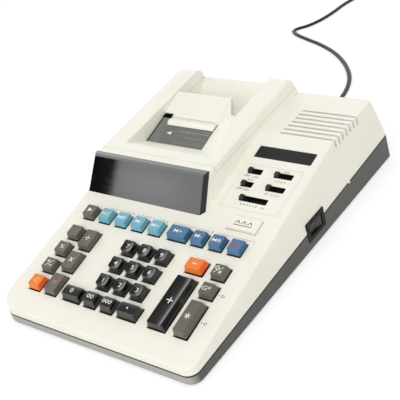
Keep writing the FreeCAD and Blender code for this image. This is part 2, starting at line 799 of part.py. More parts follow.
# Slide switches: knob above the slot, foot under the deck and a pin down into the switch on the board
SLOT_HOLES = []
KNOB = "(slot_width - 2 * fit_gap)"
SLIDES = (
    ("print_switch_knob", "slot_a_left", "slot_back_row", "slot_a"),
    ("item_switch_knob", "slot_b_left", "slot_back_row", "slot_b"),
    ("rounding_switch_knob", "slot_c_left", "slot_middle_row", "slot_c"),
    ("add_mode_switch_knob", "slot_b_left", "slot_middle_row", "slot_b"),
    ("decimal_switch_knob", "slot_d_left", "slot_front_row", "slot_d"),
)
for node, x, s, length in SLIDES:
    start, end = "fit_gap", f"(fit_gap + {KNOB})"
    grip = frustum(node + "_grip", (start, end), (start, end), (CAP_FOOT, "knob_rise"),
                   ("0.4", "0.4", "0.4", "0.4"))
    foot = box(node + "_foot", ("-knob_foot", f"{end} + knob_foot"), ("-knob_foot", f"{end} + knob_foot"),
               (LIP_FOOT, CAP_FOOT))
    pin = box(node + "_pin", (f"{end} / 2 - 1", f"{end} / 2 + 1"), (f"{end} / 2 - 1", f"{end} / 2 + 1"),
              (f"{LIP_FOOT} - 3", LIP_FOOT))
    piece(node, on_deck(fuse(node, [grip, foot, pin]), x, s))
    SLOT_HOLES.append((node, x, s, length))


def deck_hole(name, x, s, width, depth, deep="wall + 3"):
    return box(name, (x, f"{x} + {width}"), (s, f"{s} + {depth}"), (f"-({deep})", "3"), put=on_deck)


key_holes = [deck_hole(f"{node}_well", x, s, width, depth) for node, x, s, width, depth in KEY_WELLS]
slot_holes = [deck_hole(f"{node}_slot", x, s, length, "slot_width") for node, x, s, length in SLOT_HOLES]
plate_recess = box("plate_recess", ("plate_left", "plate_left + plate_width"), ("plate_row", "plate_row + plate_depth"),
                   ("-plate_sink", "3"), put=on_deck)
vents = []
for slot in range(7):
    y = f"vent_front + {slot} * vent_pitch"
    vents.append(box(f"vent_{slot + 1}", ("vent_left", PAST_RIGHT), (f"{y} - vent_width / 2", f"{y} + vent_width / 2"),
                     ("vent_foot", SKY)))

# Upper case: shell under the cover seam, with the paper trough, posts for the board and rear screw posts
trough_z = "(trough_floor + trough_radius)"
trough_zone = pad("trough_zone", "side", [("trough_front", LOW), (BEHIND, LOW), (BEHIND, cover_z(BEHIND)),
                                          ("trough_front", cover_z("trough_front"))],
                  "pocket_left - wall", "bay_right + wall")
trough_rod = rod("trough_rod", "trough_radius + wall", "bay_right - pocket_left + 2 * wall", "pocket_left - wall",
                 "trough_middle", trough_z, "x")
trough = common("trough", [trough_rod, trough_zone, hood_outer])
trough_hollow = rod("trough_hollow", "trough_radius", "bay_right - pocket_left", "pocket_left",
                    "trough_middle", trough_z, "x")
BOARD_TOP = "(mat_depth + mat_sheet + fit_gap)"
post_x = "(case_width / 2 - post_inset)"
board_posts = []
for side in (-1, 1):
    for number, s in enumerate(("post_front", "(post_front + post_step)", "(post_front + 2 * post_step)")):
        board_posts.append(on_deck(bind(make("Part::Cylinder", f"board_post_{side}_{number}"),
                                        Radius="post_radius / 2", Height=f"{BOARD_TOP} - wall / 2"),
                                   f"{side} * {post_x}", s, f"-{BOARD_TOP}"))
SCREW_X = "(case_width / 2 - screw_inset_x)"
SCREW_Y = ("(-case_depth / 2 + screw_front)", "(case_depth / 2 - screw_rear)")
SCREWS = [(f"({side}) * ({SCREW_X} - {shift})", y) for y, shift in zip(SCREW_Y, ("screw_front_shift", "0"))
          for side in (-1, 1)]
upper_posts = []
for number, (x, y) in enumerate(SCREWS):
    top = f"min({deck_z(y)}; flat_height) - wall / 2"
    upper_posts.append(rod(f"upper_post_{number}", "post_radius", f"{top} - {seam_z(y)}", x, y, seam_z(y)))
rib_top = "flat_height - 12"
for number, (x, y) in enumerate(SCREWS[2:]):
    ends = (x, f"{side_x(rib_top)} - wall / 2") if number else (f"-({side_x(rib_top)} - wall / 2)", x)
    upper_posts.append(box(f"post_rib_{number}", ends, (f"{y} - 0.8", f"{y} + 0.8"), (f"{seam_z(y)} + 1", rib_top)))
shell = cut("upper_shell", housing_soft, fuse("upper_hollow", [deck_inner, hood_inner, cover_cut, panel_slab]))
upper_body = fuse("upper_body", [shell, trough] + board_posts + upper_posts)
display_hole = pad("display_hole", "side", [
    (face_y("glass_foot", "panel_thickness - 1"), "glass_foot"), (face_y("glass_head", "panel_thickness - 1"), "glass_head"),
    (face_y("glass_head", "panel_thickness + wall + 1"), "glass_head"),
    (face_y("glass_foot", "panel_thickness + wall + 1"), "glass_foot")], "glass_left", "glass_right")
SWITCH_X = "(case_width / 2 - switch_inset)"
switch_hole = box("switch_hole", (SWITCH_X, PAST_RIGHT), ("switch_y - switch_length / 2", "switch_y + switch_length / 2"),
                  ("switch_z - switch_height / 2", "switch_z + switch_height / 2"))
upper_bores = [rod(f"upper_bore_{number}", "screw_radius + 0.1", "7", x, y, f"{seam_z(y)} - 1")
               for number, (x, y) in enumerate(SCREWS)]
openings = group("upper_openings", key_holes + slot_holes + vents + [plate_recess, display_hole, switch_hole]
                 + upper_bores)
upper_case = piece("upper_case", cut("upper_case", cut("upper_trough", upper_body, trough_hollow), openings))

# Lower case: tray with floor ribs, screw posts, printer posts and the holes for switch, cord and feet
lower_outer = housing_form("lower_outer", [(FRONT, "foot_height"), (REAR, "foot_height"), (REAR, "rear_seam"),
                                           (FRONT, "front_seam")], "0")
tray_front, tray_rear = f"({FRONT} + wall)", f"({REAR} - wall)"
tray_foot = "foot_height + wall"
lower_inner = housing_form("lower_inner", [(tray_front, tray_foot), (tray_rear, tray_foot), (tray_rear, "rear_seam + 9"),
                                           (tray_front, "rear_seam + 9")], "wall")
tray = cut("tray", lower_outer, lower_inner)
lower_posts = [rod(f"lower_post_{number}", "post_radius", f"{seam_z(y)} - foot_height - 1", x, y, "foot_height + 1")
               for number, (x, y) in enumerate(SCREWS)]
PRINTER_POSTS = [(x, y) for x in ("frame_left + 6", "frame_right - 6") for y in ("frame_front + 6", "frame_rear - 6")]
for number, (x, y) in enumerate(PRINTER_POSTS):
    lower_posts.append(rod(f"printer_post_{number}", "post_radius", "frame_foot - foot_height - 1", x, y,
                           "foot_height + 1"))
ribs = [box(f"floor_rib_{number}", (f"{SCREW_X} * {low}", f"{SCREW_X} * {high}"),
            (f"rib_front + {number} * rib_pitch", f"rib_front + {number} * rib_pitch + 1.5"),
            ("foot_height + 1", "foot_height + wall + rib_height"))
        for number, (low, high) in enumerate(((-0.9, 0.9), (-0.9, 0.9), (-0.9, 0.3)))]
lower_body = fuse("lower_body", [tray] + lower_posts + ribs)
lower_bores = []
for number, (x, y) in enumerate(SCREWS):
    lower_bores.append(rod(f"lower_bore_{number}", "screw_radius + 0.2", SKY, x, y, "0"))
    lower_bores.append(rod(f"head_bore_{number}", "screw_radius * 2 + 0.4", "head_sink", x, y, "foot_height"))
FEET = [(f"({side}) * (case_width / 2 - foot_inset)", f"({end}) * (case_depth / 2 - foot_inset)")
        for side in (-1, 1) for end in (-1, 1)]
foot_bores = [rod(f"foot_bore_{number}", "foot_stud + 0.1", "wall + 2", x, y, "foot_height - 1")
              for number, (x, y) in enumerate(FEET)]
cord_bore = rod("cord_bore", "cord_size + 0.1", "wall + 4", "cord_x", f"{REAR} - wall - 2", "cord_z", "y")
lower_case = piece("lower_case", cut("lower_case", lower_body, fuse(
    "lower_openings", lower_bores + foot_bores + [cord_bore, switch_hole])))

# Feet and case screws: one node each, as groups of equal pieces
feet = []
for number, (x, y) in enumerate(FEET):
    pad_part = cone(f"foot_pad_{number}", "foot_radius - 1", "foot_radius", "foot_height", x, y, 0)
    stud = rod(f"foot_stud_{number}", "foot_stud", "wall", x, y, "foot_height")
    feet.append(fuse(f"foot_{number}", [pad_part, stud]))
piece("feet", group("feet", feet))
screws = []
for number, (x, y) in enumerate(SCREWS):
    head = rod(f"screw_head_{number}", "screw_radius * 2", "screw_head", x, y, "foot_height + head_sink - screw_head")
    shank = rod(f"screw_shank_{number}", "screw_radius", f"{seam_z(y)} + 5 - foot_height - head_sink", x, y,
                "foot_height + head_sink")
    screws.append(fuse(f"screw_{number}", [head, shank]))
piece("case_screws", group("case_screws", screws))

# Display tube behind the hood's opening
tube_front = "panel_thickness + wall + fit_gap"
tube_back = f"{tube_front} + tube_depth"
tube_z = ("glass_foot - 1", "glass_head + 1")
piece("display_tube", pad("display_tube", "side", [
    (face_y(tube_z[0], tube_front), tube_z[0]), (face_y(tube_z[1], tube_front), tube_z[1]),
    (face_y(tube_z[1], tube_back), tube_z[1]), (face_y(tube_z[0], tube_back), tube_z[0])],
    "glass_left - 2", "glass_right + 2"))

# Dome mat: rubber sheet with a hollow dome under each stem
mat_top = "-mat_depth"
mat_foot = "(-mat_depth - mat_sheet)"
mat_outline = [("mat_left", "mat_front"), ("mat_right", "mat_front"), ("mat_right", "feed_row + feed_deep"),
               ("feed_left - 3", "feed_row + feed_deep"), ("feed_left - 3", "back_row + key_well + 4"),
               ("mat_left", "back_row + key_well + 4")]
mat_sheet = pad("mat_sheet", "plan", mat_outline, mat_foot, mat_top)
domes, dome_holes = [], []
for node, x, s, width, depth in KEY_WELLS:
    middle_x, middle_s = f"({x} + {width} / 2)", f"({s} + {depth} / 2)"
    domes.append(frustum(node + "_dome", (f"{middle_x} - dome_half", f"{middle_x} + dome_half"),
                         (f"{middle_s} - dome_half", f"{middle_s} + dome_half"),
                         (mat_top, f"{mat_top} + dome_rise"), ["dome_lean"] * 4))
    hole_half = "(stem / 2 + 0.7)"
    dome_holes.append(box(node + "_dome_hole", (f"{middle_x} - {hole_half}", f"{middle_x} + {hole_half}"),
                          (f"{middle_s} - {hole_half}", f"{middle_s} + {hole_half}"), (f"{mat_foot} - 1", "0")))
dome_mat = cut("dome_mat", fuse("mat_body", [mat_sheet] + domes), group("dome_holes", dome_holes))
piece("dome_mat", on_deck(dome_mat))

# Main board: keys on the left, the switches' strip on the right, with the parts soldered to it
board_top = f"(-{BOARD_TOP})"
board_foot = f"({board_top} - board_sheet)"
BOARD_HALF = "(case_width / 2 - board_inset)"
board_sheet = pad("board_sheet_pad", "plan", [
    (f"-{BOARD_HALF}", "board_front"), (BOARD_HALF, "board_front"), (BOARD_HALF, "board_rear"),
    ("strip_left", "board_rear"), ("strip_left", "board_middle"), (f"-{BOARD_HALF}", "board_middle")],
    board_foot, board_top)
board_parts, grooves = [board_sheet], []
for node, x, s, length in SLOT_HOLES:
    board_parts.append(box(node + "_switch", (f"{x} - 2", f"{x} + {length} + 2"), (f"{s} - 1", f"{s} + slot_width + 1"),
                           (board_top, f"{LIP_FOOT} - 2 * fit_gap")))
    groove_s = f"({s} + fit_gap + {KNOB} / 2)"
    grooves.append(box(node + "_groove", (f"{x} - 0.5", f"{x} + {length} + 0.5"), (f"{groove_s} - 1.4", f"{groove_s} + 1.4"),
                       (f"{LIP_FOOT} - 3.6", "0")))
for number, x in enumerate(("strip_left + 2 * capacitor", f"{BOARD_HALF} - 2.5 * capacitor")):
    board_parts.append(rod(f"capacitor_{number}", "capacitor", "capacitor_height", x, "capacitor_row", board_top))
for name, x in (("logic_chip", "-logic_chip / 2"), ("driver_chip", "-1.5 * logic_chip")):
    board_parts.append(box(name, (x, f"{x} + {name}"), ("chip_row", f"chip_row + {name} / 3"),
                           (f"{board_foot} - chip_height", board_foot)))
board = cut("main_board", fuse("board_body", board_parts), group("switch_grooves", grooves))
piece("main_board", on_deck(board))

# Transformer: laminated core on a foot plate, with the winding through it
core = box("core", ("core_left", "core_left + core_width"), ("core_y - core_stack / 2", "core_y + core_stack / 2"),
           (tray_foot, f"{tray_foot} + core_height"))
core_middle = "(core_left + core_width / 2)"
winding = box("winding", (f"{core_middle} - winding_width / 2", f"{core_middle} + winding_width / 2"),
              ("core_y - winding_depth / 2", "core_y + winding_depth / 2"),
              (f"{tray_foot} + core_height / 6", f"{tray_foot} + core_height * 5 / 6"))
core_foot = box("core_foot", ("core_left - core_lug", "core_left + core_width + core_lug"),
                ("core_y - core_stack / 2", "core_y + core_stack / 2"), (tray_foot, f"{tray_foot} + 1.5"))
lug_middles = ("core_left - core_lug / 2", "core_left + core_width + core_lug / 2")
foot_holes = group("core_foot_holes", [rod(f"core_hole_{number}", "core_hole", "2 * wall", x, "core_y", "foot_height + wall / 2")
                                       for number, x in enumerate(lug_middles)])
DOC.recompute()
winding_round = round_part("winding_round", winding, "winding_round", lambda m, d: abs(d.x) < 0.1 and abs(d.y) < 0.1)
piece("power_transformer", cut("power_transformer", fuse("transformer", [core, winding_round, core_foot]), foot_holes))

# Printer frame: base, three side plates with the shaft's bores, guide bar and motor
plate_top = "roller_z + 4"
plate_points = [("frame_front", "frame_foot"), ("frame_rear", "frame_foot"),
                ("frame_rear", "frame_foot + plate_rear_height"), ("roller_y + 8", plate_top),
                ("roller_y - 9", plate_top), ("frame_front", "frame_foot + plate_front_height")]
plates = [pad(f"side_plate_{number}", "side", plate_points, x, f"{x} + frame_sheet")
          for number, x in enumerate(("frame_left", "frame_middle", "frame_right - frame_sheet"))]
frame_base = box("frame_base", ("frame_left", "frame_right"), ("frame_front", "frame_rear"),
                 ("frame_foot", "frame_foot + frame_sheet"))
guide_bar = rod("guide_bar", "guide_bar", "frame_middle - frame_left", "frame_left", "roller_y - 14", "roller_z - 8", "x")
motor = rod("motor", "motor_radius", "motor_length", "frame_right", "roller_y + 8", "frame_foot + motor_height", "x")
shaft_bore = rod("shaft_bore", "shaft_radius + 0.1", "frame_right - frame_left + 4", "frame_left - 2", "roller_y",
                 "roller_z", "x")
piece("printer_frame", cut("printer_frame", fuse("frame_body", plates + [frame_base, guide_bar, motor]), shaft_bore))

# Platen roller with its shaft and gear
roller = rod("roller", "roller_radius", "frame_middle - frame_left - frame_sheet - 1", "frame_left + frame_sheet + 0.5",
             "roller_y", "roller_z", "x")
shaft = rod("shaft", "shaft_radius", "frame_right - frame_left + 2", "frame_left - 1", "roller_y", "roller_z", "x")
gear_left = "frame_middle + frame_sheet + gear_gap"
gear = rod("gear", "gear_radius", "gear_width", gear_left, "roller_y", "roller_z", "x")
tooth_gaps = []
TEETH = 16
for tooth in range(TEETH):
    angle = 360 / TEETH * tooth
    gap = bind(make("Part::Box", f"tooth_gap_{tooth}"), Length="tooth_depth + 1", Width="tooth_gap",
               Height="gear_width + 2")
    foot, half = "(gear_radius - tooth_depth)", "tooth_gap / 2"
    tooth_gaps.append(place(gap, f"{foot} * cos({angle}) + {half} * sin({angle})",
                            f"{foot} * sin({angle}) - {half} * cos({angle})", -1, angle, (0, 0, 1)))
tooth_cutter = place(group("tooth_cutter", tooth_gaps), gear_left, "roller_y", "roller_z", 90, (0, 1, 0))
toothed_gear = cut("toothed_gear", gear, tooth_cutter)
piece("platen_roller", fuse("platen_roller", [roller, shaft, toothed_gear]))

# Power switch: body in the right wall with a thin bezel, and the rocker on its upright pivot
slack = "fit_gap / 1.5"
bezel_z = ("(switch_z - switch_height / 2 - bezel_rim)", "(switch_z + switch_height / 2 + bezel_rim)")
bezel = pad("bezel", "front", [(side_x(bezel_z[0]), bezel_z[0]), ("case_width / 2", bezel_z[0]),
                               ("case_width / 2", bezel_z[1]), (side_x(bezel_z[1]), bezel_z[1])],
            "-(switch_y + switch_length / 2 + bezel_rim)", "-(switch_y - switch_length / 2 - bezel_rim)")
switch_body = box("switch_body", (f"{SWITCH_X} + {slack}", "case_width / 2 - 0.2"),
                  (f"switch_y - switch_length / 2 + {slack}", f"switch_y + switch_length / 2 - {slack}"),
                  (f"switch_z - switch_height / 2 + {slack}", f"switch_z + switch_height / 2 - {slack}"))
PIVOT_X = "(case_width / 2 - pivot_inset)"
rocker_space = box("rocker_space", (f"{PIVOT_X} - 4.5", PAST_RIGHT),
                   ("switch_y - rocker_half - 0.8", "switch_y + rocker_half + 0.8"),
                   ("switch_z - rocker_height / 2 - fit_gap", "switch_z + rocker_height / 2 + fit_gap"))
pivot_bore = rod("pivot_bore", "pivot_radius + 0.1", "rocker_height + 4", PIVOT_X, "switch_y",
                 "switch_z - rocker_height / 2 - 2")
piece("power_switch", cut("power_switch", fuse("switch_shell", [bezel, switch_body]),
                          fuse("switch_cuts", [rocker_space, pivot_bore])))
rocker_face = "(pivot_inset - 1.4)"
rocker = pad("rocker", "plan", [("-3", "-rocker_half * 0.6"), ("1", "-rocker_half"), (rocker_face, "-rocker_half"),
                                (f"{rocker_face} - 1", "0"), (rocker_face, "rocker_half"), ("1", "rocker_half"),
                                ("-3", "rocker_half * 0.6")], "-rocker_height / 2", "rocker_height / 2")
pin = rod("rocker_pin", "pivot_radius", "rocker_height + 3", "0", "0", "-rocker_height / 2 - 1.5")
piece("power_rocker", place(fuse("power_rocker", [rocker, pin]), PIVOT_X, "switch_y", "switch_z",
                            "-rocker_tilt", (0, 0, 1)))

# Strain relief in the rear wall
gland_parts = [
    rod("gland_flange_in", "cord_size + gland_flange", "gland_flange - 0.5", "cord_x", f"{REAR} - wall - 1.8", "cord_z", "y"),
    rod("gland_neck", "cord_size", "wall + 2", "cord_x", f"{REAR} - wall - 1", "cord_z", "y"),
    rod("gland_flange_out", "cord_size + gland_flange", "gland_flange", "cord_x", f"{REAR} + 0.1", "cord_z", "y"),
    cone("gland_sleeve", "cord_size", "cord_size / 2 + 0.9", "gland_length", "cord_x", f"{REAR} + gland_flange",
         "cord_z", "y")]
piece("cord_gland", fuse("cord_gland", gland_parts))

# Cord: the free stretch follows these points, chosen by eye for a rear wall 164 behind the origin
DRAWN_REAR = 164
rest = size("cord_size / 2 + 0.1")
DRAWN_POINTS = [
    (8, 194, 13), (8, 206, 13), (8.6, 226, 6.2), (7.5, 247, rest),
    (3.5, 274, rest), (-7, 300, rest), (-26, 325, rest), (-52, 349, rest), (-82, 367, rest),
    (-112, 379.5, rest), (-131, 388, rest), (-141.5, 396.5, rest), (-139.5, 404.5, rest), (-129, 413, rest),
    (-120, 431, rest), (-114.5, 454, rest), (-112, 480, rest), (-104, 505, rest), (-100, 530, rest),
    (-100, 555, rest)]
CORD_POINTS = [(x, y + size(REAR) - DRAWN_REAR, z) for x, y, z in DRAWN_POINTS]


def rounded_route(points):
    """Straight runs joined by tangent arcs, each as large as its two runs allow."""
    points = [Vector(*point) for point in points]
    edges, radii, start = [], [], points[0]
    for before, corner, after in zip(points, points[1:], points[2:]):
        incoming, outgoing = (before - corner).normalize(), (after - corner).normalize()
        half_turn = (math.pi - incoming.getAngle(outgoing)) / 2
        reach = 0.45 * min((before - corner).Length, (after - corner).Length)
        radius = reach / math.tan(half_turn)
        radii.append(round(radius, 1))
        first, last = corner + incoming * reach, corner + outgoing * reach
        bisector = (incoming + outgoing).normalize()
        middle = corner + bisector * (radius / math.cos(half_turn) - radius)
        edges += [Part.LineSegment(start, first).toShape(), Part.Arc(first, middle, last).toShape()]
        start = last
    edges.append(Part.LineSegment(start, points[-1]).toShape())
    return Part.Wire(edges), radii


def swept(node, path, section, area):
    """Sweeps a closed section along a path and compares the volume with area times length."""
    solid = path.makePipeShell([section], True, False)
    print(node, "volume over section times length:", round(solid.Volume / (area * path.Length), 4),
          "length:", round(path.Length, 1))
    thing = make("Part::Feature", node)
    thing.Shape = solid
    thing.Placement = Placement()
    return piece(node, thing)


cord_radius = size("cord_size / 2")


def cord_section(centre, sides):
    """A flat-sided section across +Y, and its area."""
    ring = [centre + Vector(cord_radius * math.cos(math.tau * side / sides), 0,
                            cord_radius * math.sin(math.tau * side / sides)) for side in range(sides)]
    return Part.makePolygon(ring + ring[:1]), sides / 2 * cord_radius ** 2 * math.sin(math.tau / sides)


route, radii = rounded_route(CORD_POINTS)
print("cord radii:", radii)
swept("power_cord", route, *cord_section(Vector(*CORD_POINTS[0]), 6))

# Coil of the rest: three turns inward, half a turn up, two and a half turns outward, then the tail
pitch, layer_rise, tail = size("coil_pitch"), size("coil_layer"), size("coil_tail")
outer_radius = size("coil_middle") + 1.5 * pitch
start = Vector(*CORD_POINTS[-1])
lead = size("cord_size")
here = start + Vector(0, lead, 0)
coil_edges = [Part.LineSegment(start, here).toShape()]
heading = 1


def half_turn(here, heading, radius):
    """A flat half circle to the left, away from a point headed along +Y or -Y."""
    middle = here + Vector(-heading * radius, heading * radius, 0)
    end = here + Vector(-heading * 2 * radius, 0, 0)
    return Part.Arc(here, middle, end).toShape(), end


def quarter_arc(begin, tangent, end):
    """The arc that leaves a point along a tangent and ends at another point."""
    chord = end - begin
    normal = (chord - tangent * chord.dot(tangent)).normalize()
    radius = chord.dot(chord) / (2 * chord.dot(normal))
    centre = begin + normal * radius
    middle = centre + ((begin - centre) + (end - centre)).normalize() * radius
    return Part.Arc(begin, middle, end).toShape()


for turn in range(6):
    arc, here = half_turn(here, heading, outer_radius - turn * pitch / 2)
    coil_edges.append(arc)
    heading = -heading
climb = outer_radius - 3 * pitch
halfway = here + Vector(-climb, math.hypot(climb, layer_rise / 2), layer_rise / 2)
top = here + Vector(-2 * climb, 0, layer_rise)
coil_edges.append(quarter_arc(here, Vector(0, 1, 0), halfway))
down = quarter_arc(top, Vector(0, 1, 0), halfway)
coil_edges.append(Part.Arc(halfway, down.valueAt((down.FirstParameter + down.LastParameter) / 2), top).toShape())
here, heading = top, -1
for turn in range(5):
    arc, here = half_turn(here, heading, climb + (turn + 1) * pitch / 2)
    coil_edges.append(arc)
    heading = -heading
tail_end = here + Vector(0, tail, 0)
coil_edges.append(Part.LineSegment(here, tail_end).toShape())
coil_path = Part.Wire(coil_edges)
swept("cord_coil", coil_path, *cord_section(start, 6))
samples = coil_path.discretize(Distance=2)
apart = int(4 * size("cord_size") / 2)
gap = min((a - b).Length for i, a in enumerate(samples) for b in samples[i + apart:]) - size("cord_size")
print("coil: least gap to itself", round(gap, 2))

# Plug on the tail's end, two round pins
plug_x, plug_y, plug_z = (str(value) for value in tail_end)
plug_shoulder = f"({plug_y} + plug_taper)"
plug_end = f"({plug_shoulder} + plug_length)"
plug_body = box("plug_body", (f"{plug_x} - plug_width / 2", f"{plug_x} + plug_width / 2"), (plug_shoulder, plug_end),
                (f"{plug_z} - plug_height / 2", f"{plug_z} + plug_height / 2"))
DOC.recompute()
plug_round = round_part("plug_round", plug_body, "plug_round", lambda m, d: abs(d.y) > 0.9)
plug_neck = cone("plug_neck", "cord_size / 2 + 1", "plug_height / 2 - 1", "plug_taper", plug_x, plug_y, plug_z, "y")
pins = [rod(f"plug_pin_{side}", "plug_pin", "plug_pin_length", f"{plug_x} + {side} * plug_pin_gap / 2", plug_end,
            plug_z, "y") for side in (-1, 1)]
piece("power_plug", fuse("power_plug", [plug_round, plug_neck] + pins))

# Every object sound, then one file for each piece
DOC.recompute()
faults = [thing.Label for thing in DOC.Objects if {"Invalid", "Error"} & set(thing.State)]
faults += [node for node, thing in PIECES.items() if thing.Shape.isNull() or not thing.Shape.isValid()]
if faults:
    raise RuntimeError(f"faulty objects: {faults}")
os.makedirs("parts", exist_ok=True)
for node, thing in PIECES.items():
    thing.Shape.exportStep(f"parts/{node}.step")
print(len(PIECES), "pieces written")
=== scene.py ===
"""Looks of the desk printing calculator: finishes, keys, signs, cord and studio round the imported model.

Lengths are millimetres in the object's frame: X to the right, Y to the rear, Z up, with the origin on
the table under the middle of the housing. They turn to metres where a mesh is made. Places on the
sloping key deck are given as x, s (distance up the slope from its front edge) and n (height square to it).
"""
import json
import logging
import math
from dataclasses import dataclass
from enum import Enum
from typing import Callable, Sequence

import bmesh
import bpy
import numpy as np
from mathutils import Matrix, Vector

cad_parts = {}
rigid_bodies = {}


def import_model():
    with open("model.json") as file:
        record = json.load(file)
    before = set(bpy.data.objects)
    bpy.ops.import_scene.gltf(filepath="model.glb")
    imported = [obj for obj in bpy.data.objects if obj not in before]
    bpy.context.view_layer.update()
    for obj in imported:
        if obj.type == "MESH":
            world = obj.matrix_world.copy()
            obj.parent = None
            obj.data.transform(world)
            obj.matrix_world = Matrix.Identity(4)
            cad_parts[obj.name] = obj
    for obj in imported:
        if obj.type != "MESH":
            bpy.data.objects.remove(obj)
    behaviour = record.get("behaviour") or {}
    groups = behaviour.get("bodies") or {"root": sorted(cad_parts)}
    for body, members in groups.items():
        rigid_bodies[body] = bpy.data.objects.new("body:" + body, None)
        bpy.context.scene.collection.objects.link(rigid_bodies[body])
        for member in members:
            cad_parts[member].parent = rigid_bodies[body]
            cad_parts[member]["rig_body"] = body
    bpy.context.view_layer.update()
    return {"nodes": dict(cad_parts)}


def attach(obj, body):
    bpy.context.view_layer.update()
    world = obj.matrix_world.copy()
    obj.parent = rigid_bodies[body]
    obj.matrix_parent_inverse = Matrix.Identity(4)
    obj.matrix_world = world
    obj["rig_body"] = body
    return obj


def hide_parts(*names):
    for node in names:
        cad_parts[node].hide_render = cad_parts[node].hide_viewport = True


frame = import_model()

LOG = logging.getLogger("printing_calculator")
MM = 0.001
HALF_DEPTH = 164.0  # from the housing's middle to its front or rear wall
SEAM_FRONT, SEAM_REAR = 10.7, 26.0  # heights of the seam between the two cases
CAPITAL = 0.73  # height of a capital letter as a share of the type size
PRINT_LIFT = 0.03  # how far print stands over the surface under it
ARC, SIDE = 6, 7  # points on each corner and on each side of a key's outline
CRISP = 40  # edges of keys and pins sharper than this many degrees stay crisp
Points = np.ndarray
Place = Callable[[Points], Points]
Socket = bpy.types.NodeSocket


def linear(colour: str) -> tuple[float, float, float, float]:
    """Turns an sRGB hex colour into linear light.

    Args:
        colour: six hex digits after a hash sign.

    Returns:
        Linear red, green and blue, and a full alpha.
    """
    parts = np.array([int(colour[i:i + 2], 16) for i in (1, 3, 5)]) / 255
    light = np.where(parts <= 0.04045, parts / 12.92, ((parts + 0.055) / 1.055) ** 2.4)
    return (*light.tolist(), 1.0)


def per_mm(size: float) -> float:
    """Scale of a texture whose features are size millimetres apart, on coordinates in metres."""
    return 1 / (size * MM)


class Shader:
    """The node tree of a material or of the world, filled node by node."""

    def __init__(self, name: str, store: bpy.types.bpy_prop_collection | None = None) -> None:
        """Makes an empty material, or a thing of the kind that the store keeps."""
        self.owner = (bpy.data.materials if store is None else store).new(name)
        self.owner.use_nodes = True
        self.tree = self.owner.node_tree
        self.tree.nodes.clear()

    def add(self, kind: str, *values: object, named: dict | None = None, out: str = "",
            **settings) -> Socket | None:
        """Adds a node with its settings and links.

        Args:
            kind: the node's type without its ShaderNode prefix.
            values: for its inputs in order, each a value, a hex colour or the socket that feeds it.
            named: the same by the input's name.
            out: name of the output to give, or nothing for the first.
            settings: the node's own properties.

        Returns:
            The output, or nothing if the node has none.
        """
        node = self.tree.nodes.new("ShaderNode" + kind)
        for name, value in settings.items():
            setattr(node, name, value)
        pairs = list(zip([socket for socket in node.inputs if socket.enabled], values))
        pairs += [(node.inputs[name], value) for name, value in (named or {}).items()]
        for socket, value in pairs:
            if isinstance(value, Socket):
                self.tree.links.new(value, socket)
            else:
                socket.default_value = linear(value) if isinstance(value, str) else value
        return next((socket for socket in node.outputs if socket.enabled and out in ("", socket.name)), None)

    def uneven(self, at: Socket, size: float, detail: float, middle: float, spread: float,
               rough: float = 0.5) -> Socket:
        """A value that noise carries to and fro.

        Args:
            at: the point's place.
            size: distance between the noise's lumps.
            detail: of the noise.
            middle: the value's mean.
            spread: how far it goes to either side.
            rough: roughness of the noise.

        Returns:
            The value.
        """
        noise = self.add("TexNoise", at, per_mm(size), detail, rough)
        return self.add("MapRange", noise, 0.3, 0.7, middle - spread, middle + spread)

    def layered(self, colour: object, *layers: tuple[Socket, object]) -> Socket:
        """Lays colours over a first one, each by its own share."""
        for share, above in layers:
            colour = self.add("Mix", share, colour, above, data_type="RGBA")
        return colour

    def finish(self, surface: Socket, output: str = "OutputMaterial") -> bpy.types.ID:
        """Ends the tree with a surface and gives its owner."""
        self.add(output, surface)
        return self.owner


